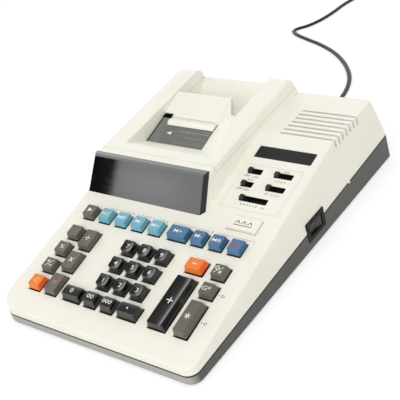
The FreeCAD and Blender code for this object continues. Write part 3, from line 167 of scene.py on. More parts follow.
@dataclass(frozen=True)
class Moulding:
    """Injection-moulded ABS: an even colour with slow drifts, a spark-eroded grain and edges rubbed smooth.

    Attributes:
        name: the material's name.
        colour: sRGB hex of the plastic.
        drift: sRGB hex that patches of it lean to, as plastic yellows unevenly.
        rubbed: sRGB hex of the edges, paler where hands polish them.
        roughness: of the untouched grain.
        grain: distance between the grain's pits, drawn coarser than the real 0.1 mm so that it shows.
        depth: of the grain.
        coat: share of gloss on top.
        front: sRGB hex of the painted light that pales it at the very front, or nothing.
        shine: specular level; half is plain plastic, less is a pitted skin.
        side: sRGB hex of the painted shade on walls that face left or right, or nothing.
        joint: sRGB hex of the painted shadow under the seam with the upper case, or nothing.
        patch, wear, smear: distances between the patches of drift, of rubbing and of gloss.
        bevel: radius that every edge shows in the light.
        bleach: y where the painted front light starts, and where it is full.
        lip: depths under the seam over which the painted shadow grows upwards.
        sideways: how far, from 0 to 1, a wall has to face left or right for the painted shade to start and to
            count in full.
    """

    name: str
    colour: str
    drift: str
    rubbed: str
    roughness: float = 0.5
    grain: float = 0.55
    depth: float = 0.02
    coat: float = 0.0
    front: str = ""
    shine: float = 0.5
    side: str = ""
    joint: str = ""
    patch: float = 38.0
    wear: float = 6.0
    smear: float = 14.0
    bevel: float = 0.5
    bleach: tuple[float, float] = (-156.0, -163.0)
    lip: tuple[float, float] = (1.8, 1.4)
    sideways: tuple[float, float] = (0.3, 0.6)

    def surface(self, shader: Shader, at: Socket) -> Socket:
        """The shader that its material ends in."""
        patches = shader.add("TexNoise", at, per_mm(self.patch), 3)
        patches = shader.add("MapRange", patches, 0.35, 0.65, 0, 0.7)
        normal = shader.add("NewGeometry", out="Normal")
        # painted front light, painted shadow under the seam and painted shade on side walls, each laid over
        # the colour by its share
        places = ((self.front, self.bleached, at), (self.joint, self.shaded, at),
                  (self.side, self.turned, normal))
        layers = [(share(shader, source), colour) for colour, share, source in places if colour]
        round_edge = shader.add("Bevel", self.bevel * MM, samples=4)
        facing = shader.add("VectorMath", round_edge, normal, operation="DOT_PRODUCT")
        edge = shader.add("MapRange", facing, 0.98, 0.86, 0, 0.55)
        rubs = shader.add("TexNoise", at, per_mm(self.wear), 2)
        worn = shader.add("Math", edge, rubs, operation="MULTIPLY")
        tint = shader.layered(self.colour, (patches, self.drift), *layers, (worn, self.rubbed))
        gloss = shader.uneven(at, self.smear, 4, self.roughness, 0.06, 0.6)
        grain = shader.add("TexNoise", at, per_mm(self.grain), 1)
        bump = shader.add("Bump", named={"Height": grain, "Strength": 0.35, "Distance": self.depth * MM,
                                         "Normal": round_edge})
        return shader.add("BsdfPrincipled", named={
            "Base Color": tint, "Roughness": gloss, "IOR": 1.52, "Normal": bump, "Coat Weight": self.coat,
            "Coat Roughness": 0.25, "Specular IOR Level": self.shine})

    def bleached(self, shader: Shader, at: Socket) -> Socket:
        """Share of the painted front light: grows from one y to the other."""
        start, full = self.bleach
        return shader.add("MapRange", shader.add("SeparateXYZ", at, out="Y"), start * MM, full * MM, 0, 1)

    def shaded(self, shader: Shader, at: Socket) -> Socket:
        """Share of the painted shadow under the lip; the height over a plane along the sloping seam tells the
        lip.
        """
        slope = (SEAM_REAR - SEAM_FRONT) / (2 * HALF_DEPTH)
        height = shader.add("VectorMath", at, (0, -slope, 1), operation="DOT_PRODUCT")
        low, high = ((SEAM_FRONT + SEAM_REAR) / 2 - depth for depth in self.lip)
        return shader.add("MapRange", height, low * MM, high * MM, 0, 1)

    def turned(self, shader: Shader, normal: Socket) -> Socket:
        """Share of the painted shade on walls that face left or right."""
        across = shader.add("Math", shader.add("SeparateXYZ", normal, out="X"), operation="ABSOLUTE")
        return shader.add("MapRange", across, *self.sideways, 0, 1)


@dataclass(frozen=True)
class SmokedAcrylic:
    """Cast acrylic dyed smoke grey: dark through its thickness, polished on top, with fine wipe marks.

    Attributes:
        name: the material's name.
        colour: sRGB hex of the dyed body.
        haze: sRGB hex of its dusty patches.
        edge: sRGB hex of the painted highlight on its upper bevel, or nothing.
        right: x of its right end, along which the inner wall shows as a black line.
        glow: x and z of the middle of the painted glow of the pale tube behind it.
        tube: sRGB hex of that painted glow.
        wall: sRGB hex of that inner wall.
    """

    name: str
    colour: str
    haze: str
    edge: str = ""
    right: float = 0.0
    glow: tuple[float, float] = (0.0, 0.0)
    tube: str = "#6E7478"
    wall: str = "#050505"

    def surface(self, shader: Shader, at: Socket) -> Socket:
        """The shader that its material ends in."""
        along = shader.add("Mapping", named={"Vector": at, "Scale": (0.12, 1.0, 1.0)})
        wipes = shader.add("TexNoise", along, per_mm(0.8), 3, 0.6)
        gloss = shader.add("MapRange", wipes, 0.45, 0.75, 0.03, 0.08)
        haze = shader.add("MapRange", shader.add("TexNoise", at, per_mm(22), 2), 0.3, 0.7, 0, 0.35)
        tint = shader.layered(self.colour, (haze, self.haze), *(self.ends(shader, at) if self.edge else ()))
        return shader.add("BsdfPrincipled", named={"Base Color": tint, "Roughness": gloss, "IOR": 1.58})

    def ends(self, shader: Shader, at: Socket) -> tuple[tuple[Socket, str], ...]:
        """Shares of the painted glow of the tube, of the painted highlight on the upper edge and of the black
        line, with their colours.

        The painted glow falls off evenly from the middle to the rim of an ellipse 111 mm wide and 33 mm high;
        the painted highlight lies on what faces upwards; the line is 1.2 mm wide.

        Args:
            shader: the tree to fill.
            at: the point's place.

        Returns:
            Each share and its colour.
        """
        middle = (self.glow[0] * MM, 0, self.glow[1] * MM)
        off = shader.add("VectorMath", at, middle, operation="SUBTRACT")
        off = shader.add("VectorMath", off, (18.0, 0.0, 60.0), operation="MULTIPLY")
        far = shader.add("VectorMath", off, operation="LENGTH")
        up = shader.add("SeparateXYZ", shader.add("NewGeometry", out="Normal"), out="Z")
        across = shader.add("SeparateXYZ", at, out="X")
        near = shader.add("Math", across, self.right * MM, 0.6 * MM, operation="COMPARE")
        return ((shader.add("MapRange", far, 0.2, 1, 0.22, 0), self.tube),
                (shader.add("MapRange", up, 0.64, 0.7, 0, 1), self.edge), (near, self.wall))


@dataclass(frozen=True)
class Rubber:
    """Soft rubber or plasticised PVC: dark, matt, with a skin-like mottle."""

    name: str
    colour: str
    drift: str
    roughness: float = 0.6
    lumps: float = 1.6
    shine: float = 0.5

    def surface(self, shader: Shader, at: Socket) -> Socket:
        """The shader that its material ends in."""
        mottle = shader.add("TexNoise", at, per_mm(9), 3)
        bump = shader.add("Bump", named={"Height": shader.add("TexNoise", at, per_mm(self.lumps), 2),
                                         "Strength": 0.25, "Distance": 0.04 * MM})
        return shader.add("BsdfPrincipled", named={
            "Base Color": shader.layered(self.colour, (mottle, self.drift)),
            "Roughness": shader.uneven(at, 5, 2, self.roughness, 0.08), "IOR": 1.5, "Normal": bump,
            "Specular IOR Level": self.shine})


@dataclass(frozen=True)
class Metal:
    """Rolled, turned or plated metal: brushed along one axis, with a cloudy plating."""

    name: str
    colour: str
    cloud: str
    roughness: float = 0.34
    brush: tuple[float, float, float] = (0.05, 1.0, 1.0)
    metallic: float = 1.0
    lines: float = 0.35

    def surface(self, shader: Shader, at: Socket) -> Socket:
        """The shader that its material ends in."""
        along = shader.add("Mapping", named={"Vector": at, "Scale": self.brush})
        clouds = shader.add("TexNoise", at, per_mm(7), 3)
        bump = shader.add("Bump", named={"Height": shader.add("TexNoise", along, per_mm(self.lines), 3),
                                         "Strength": 0.2, "Distance": 0.02 * MM})
        return shader.add("BsdfPrincipled", named={
            "Base Color": shader.layered(self.colour, (clouds, self.cloud)),
            "Roughness": shader.uneven(along, self.lines, 3, self.roughness, 0.1),
            "Metallic": self.metallic, "Normal": bump})


@dataclass(frozen=True)
class Ink:
    """Pad-printed or double-shot lettering, slightly uneven in cover."""

    name: str
    colour: str
    thin: str
    roughness: float = 0.5

    def surface(self, shader: Shader, at: Socket) -> Socket:
        """The shader that its material ends in."""
        cover = shader.add("MapRange", shader.add("TexNoise", at, per_mm(1.1), 3), 0.35, 0.75, 0, 0.5)
        return shader.add("BsdfPrincipled", named={
            "Base Color": shader.layered(self.colour, (cover, self.thin)), "Roughness": self.roughness})


@dataclass(frozen=True)
class Laminate:
    """Circuit board: green solder mask over copper, with black moulded switches and chips on both faces.

    Attributes:
        name: the material's name.
        mask: sRGB hex of the solder mask.
        copper: sRGB hex of the mask where copper lies under it.
        parts: sRGB hex of what stands on the board.
        foot, top: heights of the board's faces over the deck's plane.
        margin: how far off a face the parts begin.
    """

    name: str = "glass epoxy laminate"
    mask: str = "#2C6238"
    copper: str = "#4B7F4A"
    parts: str = "#191918"
    foot: float = -12.9
    top: float = -11.3
    margin: float = 0.1

    def surface(self, shader: Shader, at: Socket) -> Socket:
        """The shader at a place, whose height square to the deck tells the board from its parts."""
        square = DECK.axes[2]
        start = float(square @ DECK.place(np.zeros(3)))
        height = shader.add("VectorMath", at, tuple(square), operation="DOT_PRODUCT")
        over = shader.add("Math", height, (start + self.top + self.margin) * MM, operation="GREATER_THAN")
        under = shader.add("Math", height, (start + self.foot - self.margin) * MM, operation="LESS_THAN")
        parts = shader.add("Math", over, under, operation="MAXIMUM")
        tracks = shader.add("TexNoise", at, per_mm(3.5), 1)
        tracks = shader.add("Math", tracks, 0.55, operation="GREATER_THAN")
        return shader.add("BsdfPrincipled", named={
            "Base Color": shader.layered(self.mask, (tracks, self.copper), (parts, self.parts)),
            "Roughness": shader.uneven(at, 2, 2, 0.425, 0.075), "IOR": 1.5})


class Finish(Enum):
    """Every finish on the object."""

    IVORY = Moulding("ivory moulded ABS", "#EDEBE0", "#EAE6D8", "#F3F1E8", 0.5)
    # front: painted light that pales the front face of the lower case
    CHARCOAL = Moulding("charcoal moulded ABS", "#565653", "#50504D", "#6E6E68", 0.55, front="#A6A6A0",
                        # joint: painted shadow under the seam with the upper case
                        shine=0.3, joint="#191917")
    # side colours of the keys below are painted shade on their left and right walls
    BLACK_KEY = Moulding("black double-shot ABS", "#131312", "#191918", "#2C2C2A", 0.24, 0.4, 0.006, 0.35,
                         shine=0.45, side="#060606")
    GREY_KEY = Moulding("grey double-shot ABS", "#625F57", "#5C5A51", "#77756B", 0.42, 0.4, 0.01, 0.1,
                        shine=0.35, side="#55524A")
    BLUE_KEY = Moulding("blue double-shot ABS", "#4D789E", "#467095", "#6A92B4", 0.42, 0.4, 0.01, 0.1,
                        shine=0.3, side="#2C5E7C")
    SKY_KEY = Moulding("light blue double-shot ABS", "#74B1C7", "#6CA9C1", "#92C5D6", 0.42, 0.4, 0.01, 0.1,
                       shine=0.3, side="#62A2B2")
    ORANGE_KEY = Moulding("orange double-shot ABS", "#EA8235", "#E4772C", "#F3A466", 0.4, 0.4, 0.01, 0.1,
                          shine=0.3, side="#F0601C")
    IVORY_KEY = Moulding("ivory double-shot ABS", "#EFECDE", "#ECE8D8", "#F5F3EA", 0.46, 0.45, 0.01, 0.1)
    NYLON = Moulding("black moulded nylon", "#121211", "#181816", "#2A2A27", 0.38, 0.5, 0.012)
    SWITCH = Moulding("black matt polyamide", "#0C0C0B", "#10100F", "#1E1E1C", 0.5, 0.5, 0.012, shine=0.15)
    # the display window carries a painted glow of the tube behind it and a painted highlight on its upper
    # bevel
    WINDOW = SmokedAcrylic("smoked acrylic", "#0C0D0E", "#141516", "#747777", 27.6, (-30.0, 61.0))
    RIBBON_WINDOW = SmokedAcrylic("smoked acrylic, thin", "#6E716D", "#777A75")
    PLATE = Metal("black anodised aluminium", "#1F1E1D", "#252423", 0.36, metallic=0.4)
    PVC = Rubber("flexible PVC", "#161615", "#1E1E1C", 0.42, 1.2, 0.2)
    FOOT = Rubber("moulded foot rubber", "#1E1E1D", "#2A2A28", 0.75)
    SILICONE = Rubber("translucent silicone rubber", "#A9ABAA", "#B5B7B6", 0.5)
    PLATEN = Rubber("ground platen rubber", "#20201F", "#2B2B29", 0.7)
    ZINC = Metal("zinc-plated steel", "#C9C8C0", "#B4B2A6", 0.32)
    CORE = Metal("varnished core steel", "#6C6C70", "#57565A", 0.45, (1.0, 1.0, 6.0), 0.7)
    PIN = Metal("nickel-plated brass", "#D6D2C4", "#C2BCA9", 0.22, (1.0, 0.05, 1.0))
    GLASS = SmokedAcrylic("display tube glass", "#56625C", "#5E6A62")
    BOARD = Laminate()
    WHITE_INK = Ink("white lettering", "#E6E6E0", "#CFCFC8")
    BLACK_INK = Ink("black print", "#141412", "#1C1C19")
    DARK_INK = Ink("dark grey print", "#45453F", "#57574F")
    BROWN_INK = Ink("brown print", "#8A7F6C", "#9A907E")
    PALE_INK = Ink("pale brown print", "#CBC5B2", "#D3CEBD")
    SMOKE_INK = Ink("grey print under smoked acrylic", "#8F938F", "#7D817D")
    RED_INK = Ink("red lettering", "#B4453E", "#A03C38")
    AMBER_INK = Ink("orange lettering", "#D0703A", "#BC6432")
    YELLOW_INK = Ink("yellow lettering", "#E8CF86", "#DCBF70")

    def material(self) -> bpy.types.Material:
        """The finish's material, made once."""
        made = bpy.data.materials.get(self.value.name)
        if made is None:
            shader = Shader(self.value.name)
            made = shader.finish(self.value.surface(shader, shader.add("TexCoord", out="Object")))
        return made


def placed(name: str, data: bpy.types.ID) -> bpy.types.Object:
    """Puts a new object with its data into the scene."""
    made = bpy.data.objects.new(name, data)
    bpy.context.scene.collection.objects.link(made)
    return made


def coordinates(mesh: bpy.types.Mesh) -> Points:
    """A mesh's points, one a row."""
    points = np.zeros(len(mesh.vertices) * 3)
    mesh.vertices.foreach_get("co", points)
    return points.reshape(-1, 3)


def drawn(curve: bpy.types.Curve) -> tuple[Points, list[list[int]]]:
    """Points and faces of a curve or a text as Blender draws it; the curve is gone afterwards."""
    holder = placed(curve.name, curve)
    mesh = bpy.data.meshes.new_from_object(holder.evaluated_get(bpy.context.evaluated_depsgraph_get()))
    points, faces = coordinates(mesh), [list(face.vertices) for face in mesh.polygons]
    for thing, store in ((holder, bpy.data.objects), (curve, bpy.data.curves), (mesh, bpy.data.meshes)):
        store.remove(thing)
    return points, faces


def raised(outline: Points, height: float | Points) -> Points:
    """Gives the points of a flat outline a height, one for all or one for each."""
    return np.column_stack([outline, np.broadcast_to(height, len(outline))])


def rounded(half_x: float, half_y: float, radii: Sequence[float], arc: int = 5, side: int = 4) -> Points:
    """Outline of a rectangle with round corners, counter-clockwise from its front-left corner.

    Args:
        half_x: half its width.
        half_y: half its depth.
        radii: of the front-left, front-right, rear-right and rear-left corners.
        arc: points on each corner.
        side: points on each straight side between corners.

    Returns:
        The outline's points.
    """
    corners = ((-1, -1, 180), (1, -1, 270), (1, 1, 0), (-1, 1, 90))
    arcs = []
    for (sign_x, sign_y, start), radius in zip(corners, radii):
        angle = np.radians(start + np.linspace(0, 90, arc))
        centre = (sign_x * (half_x - radius), sign_y * (half_y - radius))
        arcs.append(radius * np.column_stack([np.cos(angle), np.sin(angle)]) + centre)
    share = np.linspace(0, 1, side + 2)[1:-1, None]
    outline = []
    for here, after in zip(arcs, arcs[1:] + arcs[:1]):
        outline += [here, here[-1] * (1 - share) + after[0] * share]
    return np.concatenate(outline)


def circle(radius: float, count: int) -> Points:
    """Points evenly round a circle, counter-clockwise."""
    angle = np.arange(count) * math.tau / count
    return radius * np.column_stack([np.cos(angle), np.sin(angle)])


def lathed(profile: Points, start: Sequence[float], count: int) -> Points:
    """Rings of a solid turned about a line that runs to the rear.

    Args:
        profile: distance along the line and radius there, one pair a row.
        start: the line's first point.
        count: points in a ring.

    Returns:
        The rings.
    """
    along, radius = profile[:, :1], profile[:, 1:]
    across, up = circle(1, count).T
    return np.stack([start[0] + radius * across, np.repeat(start[1] + along, count, 1),
                     start[2] + radius * up], -1)


@dataclass(frozen=True)
class Deck:
    """A sloping plane, such as the key deck: its front edge's place and its slope in degrees."""

    front_y: float = -HALF_DEPTH
    front_z: float = 17.7
    slope: float = 12.34

    @property
    def axes(self) -> Points:
        """Unit vectors along x, s and n, one a row."""
        cosine, sine = math.cos(math.radians(self.slope)), math.sin(math.radians(self.slope))
        return np.array([[1, 0, 0], [0, cosine, sine], [0, -sine, cosine]])

    def place(self, points: Points) -> Points:
        """Turns x, s, n in an array's last axis into x, y, z."""
        return np.asarray(points, float) @ self.axes + (0, self.front_y, self.front_z)

    def measure(self, points: Points) -> Points:
        """Turns x, y, z in an array's last axis into x, s, n."""
        return (np.asarray(points, float) - (0, self.front_y, self.front_z)) @ self.axes.T

    def extent(self, node: str) -> tuple[Points, Points]:
        """Least and greatest x, s and n of a CAD node."""
        there = self.measure(coordinates(frame["nodes"][node].data) / MM)
        return there.min(0), there.max(0)

    def surface(self, lift: float = PRINT_LIFT) -> Place:
        """The map from x, s to a point lift millimetres over the deck."""
        return lambda flat: self.place(raised(flat, lift))


DECK = Deck()


class Skin:
    """Points and faces of one piece, gathered form by form; each step gives the skin."""

    def __init__(self) -> None:
        """Starts with nothing."""
        self.points: list[Points] = []
        self.faces: list[list[int]] = []
        self.count = 0

    def take(self, points: Points, faces: Sequence) -> "Skin":
        """Adds points, and faces with equally many corners that number them from zero."""
        self.points.append(np.asarray(points, float).reshape(-1, 3))
        self.faces += (np.asarray(faces) + self.count).tolist()
        self.count += len(self.points[-1])
        return self

    def wrap(self, rings: Points) -> "Skin":
        """Adds the quads between neighbouring rings and round each of them."""
        index = np.arange(rings[..., 0].size).reshape(rings.shape[:2])
        beside = np.roll(index, -1, 1)
        quads = np.stack([index[:-1], beside[:-1], beside[1:], index[1:]], -1)
        return self.take(rings, quads.reshape(-1, 4))

    def loft(self, rings: Points) -> "Skin":
        """Adds a closed form through rings, with a point in the middle of its first and last ring.

        Args:
            rings: rings by points round each by 3.
        """
        index = np.arange(rings.shape[1])
        for ring in (rings[0], rings[-1]):
            fan = np.stack([index, np.roll(index, -1), np.full(len(index), len(index))], -1)
            self.take(np.vstack([ring, ring.mean(0)]), fan)
        return self.wrap(rings)

    def ring_shell(self, rings: Sequence[Points]) -> "Skin":
        """Adds a hollow form: each ring joins the next, and the last one joins the first."""
        return self.wrap(np.array([*rings, rings[0]]))

    def box(self, low: Sequence[float], high: Sequence[float], bevel: float = 0.2,
            put: Place = lambda points: points) -> "Skin":
        """Adds a block with rounded upright corners and bevelled ends.

        Args:
            low: its least x, y and z.
            high: its greatest x, y and z.
            bevel: size of corner and end bevels.
            put: the map from the block's own frame.
        """
        low, high = np.asarray(low, float), np.asarray(high, float)
        middle, half = (low + high) / 2, (high - low) / 2
        outer = rounded(half[0], half[1], [bevel] * 4, 3, 1)
        inner = rounded(half[0] - bevel, half[1] - bevel, [bevel / 2] * 4, 3, 1)
        levels = ((inner, -half[2]), (outer, -half[2] + bevel), (outer, half[2] - bevel), (inner, half[2]))
        return self.loft(put(np.array([raised(ring, z) + middle for ring, z in levels])))

    def tube(self, line: Points, section: Points) -> "Skin":
        """Carries a closed section along a line and closes both ends.

        Args:
            line: points of the path.
            section: points of the section, across and up.
        """
        ahead = np.gradient(line, axis=0)
        ahead /= np.linalg.norm(ahead, axis=1)[:, None]
        across = np.cross(ahead, (0.0, 0.0, 1.0))
        across /= np.linalg.norm(across, axis=1)[:, None]
        above = np.cross(across, ahead)
        return self.loft(line[:, None] + across[:, None] * section[:, :1] + above[:, None] * section[:, 1:])

    def made(self, name: str, finish: Finish, body: str, slot: str, smooth: float = 32,
             closed: bool = True) -> bpy.types.Object:
        """Makes the piece, joins its seams, turns its faces outwards and lets it ride.

        Args:
            name: the piece's name.
            finish: its finish.
            body: the moving body that carries it.
            slot: the record's finish that it takes after; not used.
            smooth: edges sharper than this many degrees stay crisp.
            closed: whether its faces close a volume, so that outwards has a meaning.

        Returns:
            The piece.
        """
        mesh = bpy.data.meshes.new(name)
        mesh.from_pydata((np.concatenate(self.points) * MM).tolist(), [], self.faces)
        if closed:
            seal(mesh)
        mesh.polygons.foreach_set("use_smooth", np.ones(len(mesh.polygons), bool))
        mesh.set_sharp_from_angle(angle=math.radians(smooth))
        mesh.materials.append(finish.material())
        made = placed(name, mesh)
        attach(made, body)
        LOG.info("%s: %d faces on %s", name, len(mesh.polygons), body)
        return made


def seal(mesh: bpy.types.Mesh) -> None:
    """Merges doubled points and turns all faces outwards."""
    work = bmesh.new()
    work.from_mesh(mesh)
    bmesh.ops.remove_doubles(work, verts=work.verts, dist=0.001 * MM)
    bmesh.ops.recalc_face_normals(work, faces=work.faces)
    work.to_mesh(mesh)
    work.free()


class Artwork:
    """Flat printed marks in millimetres, laid by one ink on one surface; each step gives the artwork."""

    def __init__(self) -> None:
        """Starts with nothing."""
        self.skin = Skin()

    def flat(self, outline: Points, faces: Sequence) -> "Artwork":
        """Adds a flat shape."""
        self.skin.take(raised(outline, 0), faces)
        return self

    def line(self, points: Sequence[Sequence[float]], width: float, closed: bool = False) -> "Artwork":
        """Adds a line of even width with mitred corners.

        Args:
            points: its corners.
            width: of the stroke.
            closed: whether it comes back to its start.
        """
        path = np.asarray(points, float)
        ahead = np.roll(path, -1, 0) - path
        if not closed:
            ahead[-1] = ahead[-2]
        behind = np.roll(ahead, 1, 0)
        if not closed:
            behind[0] = ahead[0]
        sides = []
        for way in (ahead, behind):
            unit = way / np.linalg.norm(way, axis=1)[:, None]
            sides.append(np.column_stack([-unit[:, 1], unit[:, 0]]))
        mitre = sides[0] + sides[1]
        mitre *= (width / (mitre * sides[0]).sum(1) / 2)[:, None]
        count = len(path)
        index = np.arange(count if closed else count - 1)
        after = (index + 1) % count
        quads = np.stack([index, after, after + count, index + count], -1)
        return self.flat(np.concatenate([path - mitre, path + mitre]), quads)

    def shape(self, points: Sequence[Sequence[float]]) -> "Artwork":
        """Adds a filled convex shape."""
        return self.flat(np.asarray(points, float), [range(len(points))])

    def sign(self, text: str, at: Sequence[float], height: float, weight: float = 0.02,
             wide: float = 1.0) -> "Artwork":
        """Adds letters or figures, their middle at a place.

        Args:
            text: what it reads.
            at: its middle.
            height: of a capital letter.
            weight: how far each outline is spread, as a share of the type size.
            wide: stretch along the line.
        """
        curve = bpy.data.curves.new("sign", "FONT")
        curve.body, curve.resolution_u, curve.offset = text, 3, weight
        outline, faces = drawn(curve)
        outline = outline[:, :2]
        middle = (outline.min(0) + outline.max(0)) / 2
        return self.flat((outline - middle) * height / CAPITAL * (wide, 1) + at, faces)

    def printed(self, name: str, surface: Place, ink: Finish, body: str, slot: str) -> bpy.types.Object:
        """Lays the marks on a surface.

        Args:
            name: the piece's name.
            surface: the map from the flat artwork to the surface.
            ink: the finish of the marks.
            body: what carries them.
            slot: the record's finish that they take after; not used.

        Returns:
            The printed piece.
        """
        self.skin.points = [surface(points[:, :2]) for points in self.skin.points]
        return self.skin.made(name, ink, body, slot, closed=False)


@dataclass(frozen=True)
class CrownForm:
    """Shape of a key's top and walls, in millimetres.

    Attributes:
        left, right, front, rear: how far the top is drawn in from the foot on each side.
        front_corner, rear_corner: radii of the top's corners.
        bowl: depth of a round hollow in the top.
        ahead: how far the hollow's middle lies to the front, as a share of half the depth.
        trough: depth of a hollow that runs front to rear.
        hump: how far the front and rear edges fall below the middle.
        scoop: how strongly the front wall hollows under the top; zero is flat.
        ledge: width of a step beside the right edge.
        edge: radius of the top's edge.
    """

    left: float = 0.9
    right: float = 0.7
    front: float = 2.0
    rear: float = 0.9
    front_corner: float = 1.1
    rear_corner: float = 1.0
    bowl: float = 0.3
    ahead: float = 0.0
    trough: float = 0.0
    hump: float = 0.0
    scoop: float = 0.0
    ledge: float = 0.0
    edge: float = 0.35

    def height(self, across: Points, along: Points) -> Points:
        """Height of the top over its rim's corners.

        The bowl is a paraboloid that reaches zero near the corners, the trough follows the cube of the
        distance from the middle line and the hump is a parabola along.

        Args:
            across: place over the width, from -1 to 1.
            along: place over the depth, from -1 at the front to 1 at the rear.

        Returns:
            The height at each place.
        """
        bowl = -self.bowl * np.clip(1 - (across ** 2 + (along + self.ahead) ** 2) / 1.7, 0, 1)
        trough = -self.trough * (1 - np.clip(np.abs(across), 0, 1) ** 3)
        return bowl + trough - self.hump * along ** 2


class Crown(Enum):
    """The kinds of key top."""

    BOWL = CrownForm(1.1, 1.7, 1.9, 1.4, 2.4, 1.2, 1.6, 0.35, scoop=2.0, edge=0.3)
    PLAIN = CrownForm()
    BLOCK = CrownForm(rear=1.8)
    SLOPED = CrownForm(right=2.6, rear=1.2)
    BAR = CrownForm(1.0, 1.1, 2.9, 1.6, 1.0, 1.0, 0.0, hump=0.6, edge=0.5)
    TROUGH = CrownForm(0.9, 3.5, 2.2, 1.4, 1.0, 1.0, 0.0, trough=1.1, ledge=1.2, edge=0.25)
    RIDGE = CrownForm(0.9, 2.7, 2.0, 1.0, 1.2, 1.2, 0.0, trough=0.45, edge=0.7)
    FLUSH = CrownForm(0.4, 0.4, 0.4, 0.4, 0.9, 0.9, 0.3, edge=0.5)


@dataclass(frozen=True)
class Lettering:
    """One line of letters or figures in the middle of a key, stretched wide and spread by a weight."""

    text: str
    height: float = 4.2
    wide: float = 1.3
    weight: float = 0.005

    def draw(self) -> Artwork:
        """Draws it."""
        return Artwork().sign(self.text, (0, 0), self.height, self.weight, self.wide)


@dataclass(frozen=True)
class Stroke:
    """One mark of a sign: its corners about the key's middle, and its width, or zero if it is filled."""

    points: Sequence
    width: float = 0.0
    closed: bool = False


def strokes(width: float, *lines: Sequence) -> tuple[Stroke, ...]:
    """Open strokes of one width."""
    return tuple(Stroke(line, width) for line in lines)


def star(length: float, width: float, x: float = 0.0, y: float = 0.0) -> tuple[Stroke, ...]:
    """Three crossed strokes, the first upright, that make a six-armed star."""
    turns = np.radians((0, 60, 120))
    tips = np.column_stack([np.sin(turns), np.cos(turns)]) * length
    return strokes(width, *np.stack([(x, y) - tips, (x, y) + tips], 1).tolist())


class Sign(Enum):
    """The signs that are neither letters nor figures, mark by mark."""

    ADVANCE = (Stroke(((-2.6, -2.3), (2.8, 0), (-2.6, 2.3))),)
    POINT = (Stroke(circle(0.9, 12).tolist()),)
    MULTIPLY = strokes(0.85, ((-2.2, -2.2), (2.2, 2.2)), ((-2.2, 2.2), (2.2, -2.2)))
    PLUS = strokes(1.0, ((-3.1, 0), (3.1, 0)), ((0, -3.1), (0, 3.1)))
    MINUS = strokes(1.0, ((-2.3, 0), (2.3, 0)))
    DIVIDE = (Stroke((circle(0.65, 10) - (0, 2.0)).tolist()), Stroke((circle(0.65, 10) + (0, 2.0)).tolist()),
              Stroke(((-2.5, 0), (2.5, 0)), 0.9))
    EQUALS = strokes(0.85, ((-2.4, 1.1), (2.4, 1.1)), ((-2.4, -1.1), (2.4, -1.1)))
    TOTAL = star(2.8, 0.8)
    SUBTOTAL = (Stroke(((-4.0, 1.8), (-2.1, 3.7), (-0.2, 1.8), (-2.1, -0.1)), 0.7, True),
                Stroke(((-3.4, -3.2), (3.6, 3.2)), 0.6), *star(1.6, 0.6, 2.4, -1.8))
    CHANGE = (*strokes(0.8, ((-4.2, 1.9), (-0.6, 1.9)), ((-2.4, 0.1), (-2.4, 3.7)),
                       ((0.6, -1.9), (4.2, -1.9))), Stroke(((-3.0, -3.6), (3.0, 3.6)), 0.7))
    FEED = (*strokes(0.8, *(((x - 2.2, -0.9), (x, 2.1), (x + 2.2, -0.9)) for x in (-6.2, 0, 6.2))),
            Stroke(((-9.4, -2.7), (9.4, -2.7)), 0.7))

    def draw(self) -> Artwork:
        """Draws it."""
        art = Artwork()
        for stroke in self.value:
            if stroke.width:
                art.line(stroke.points, stroke.width, stroke.closed)
            else:
                art.shape(stroke.points)
        return art


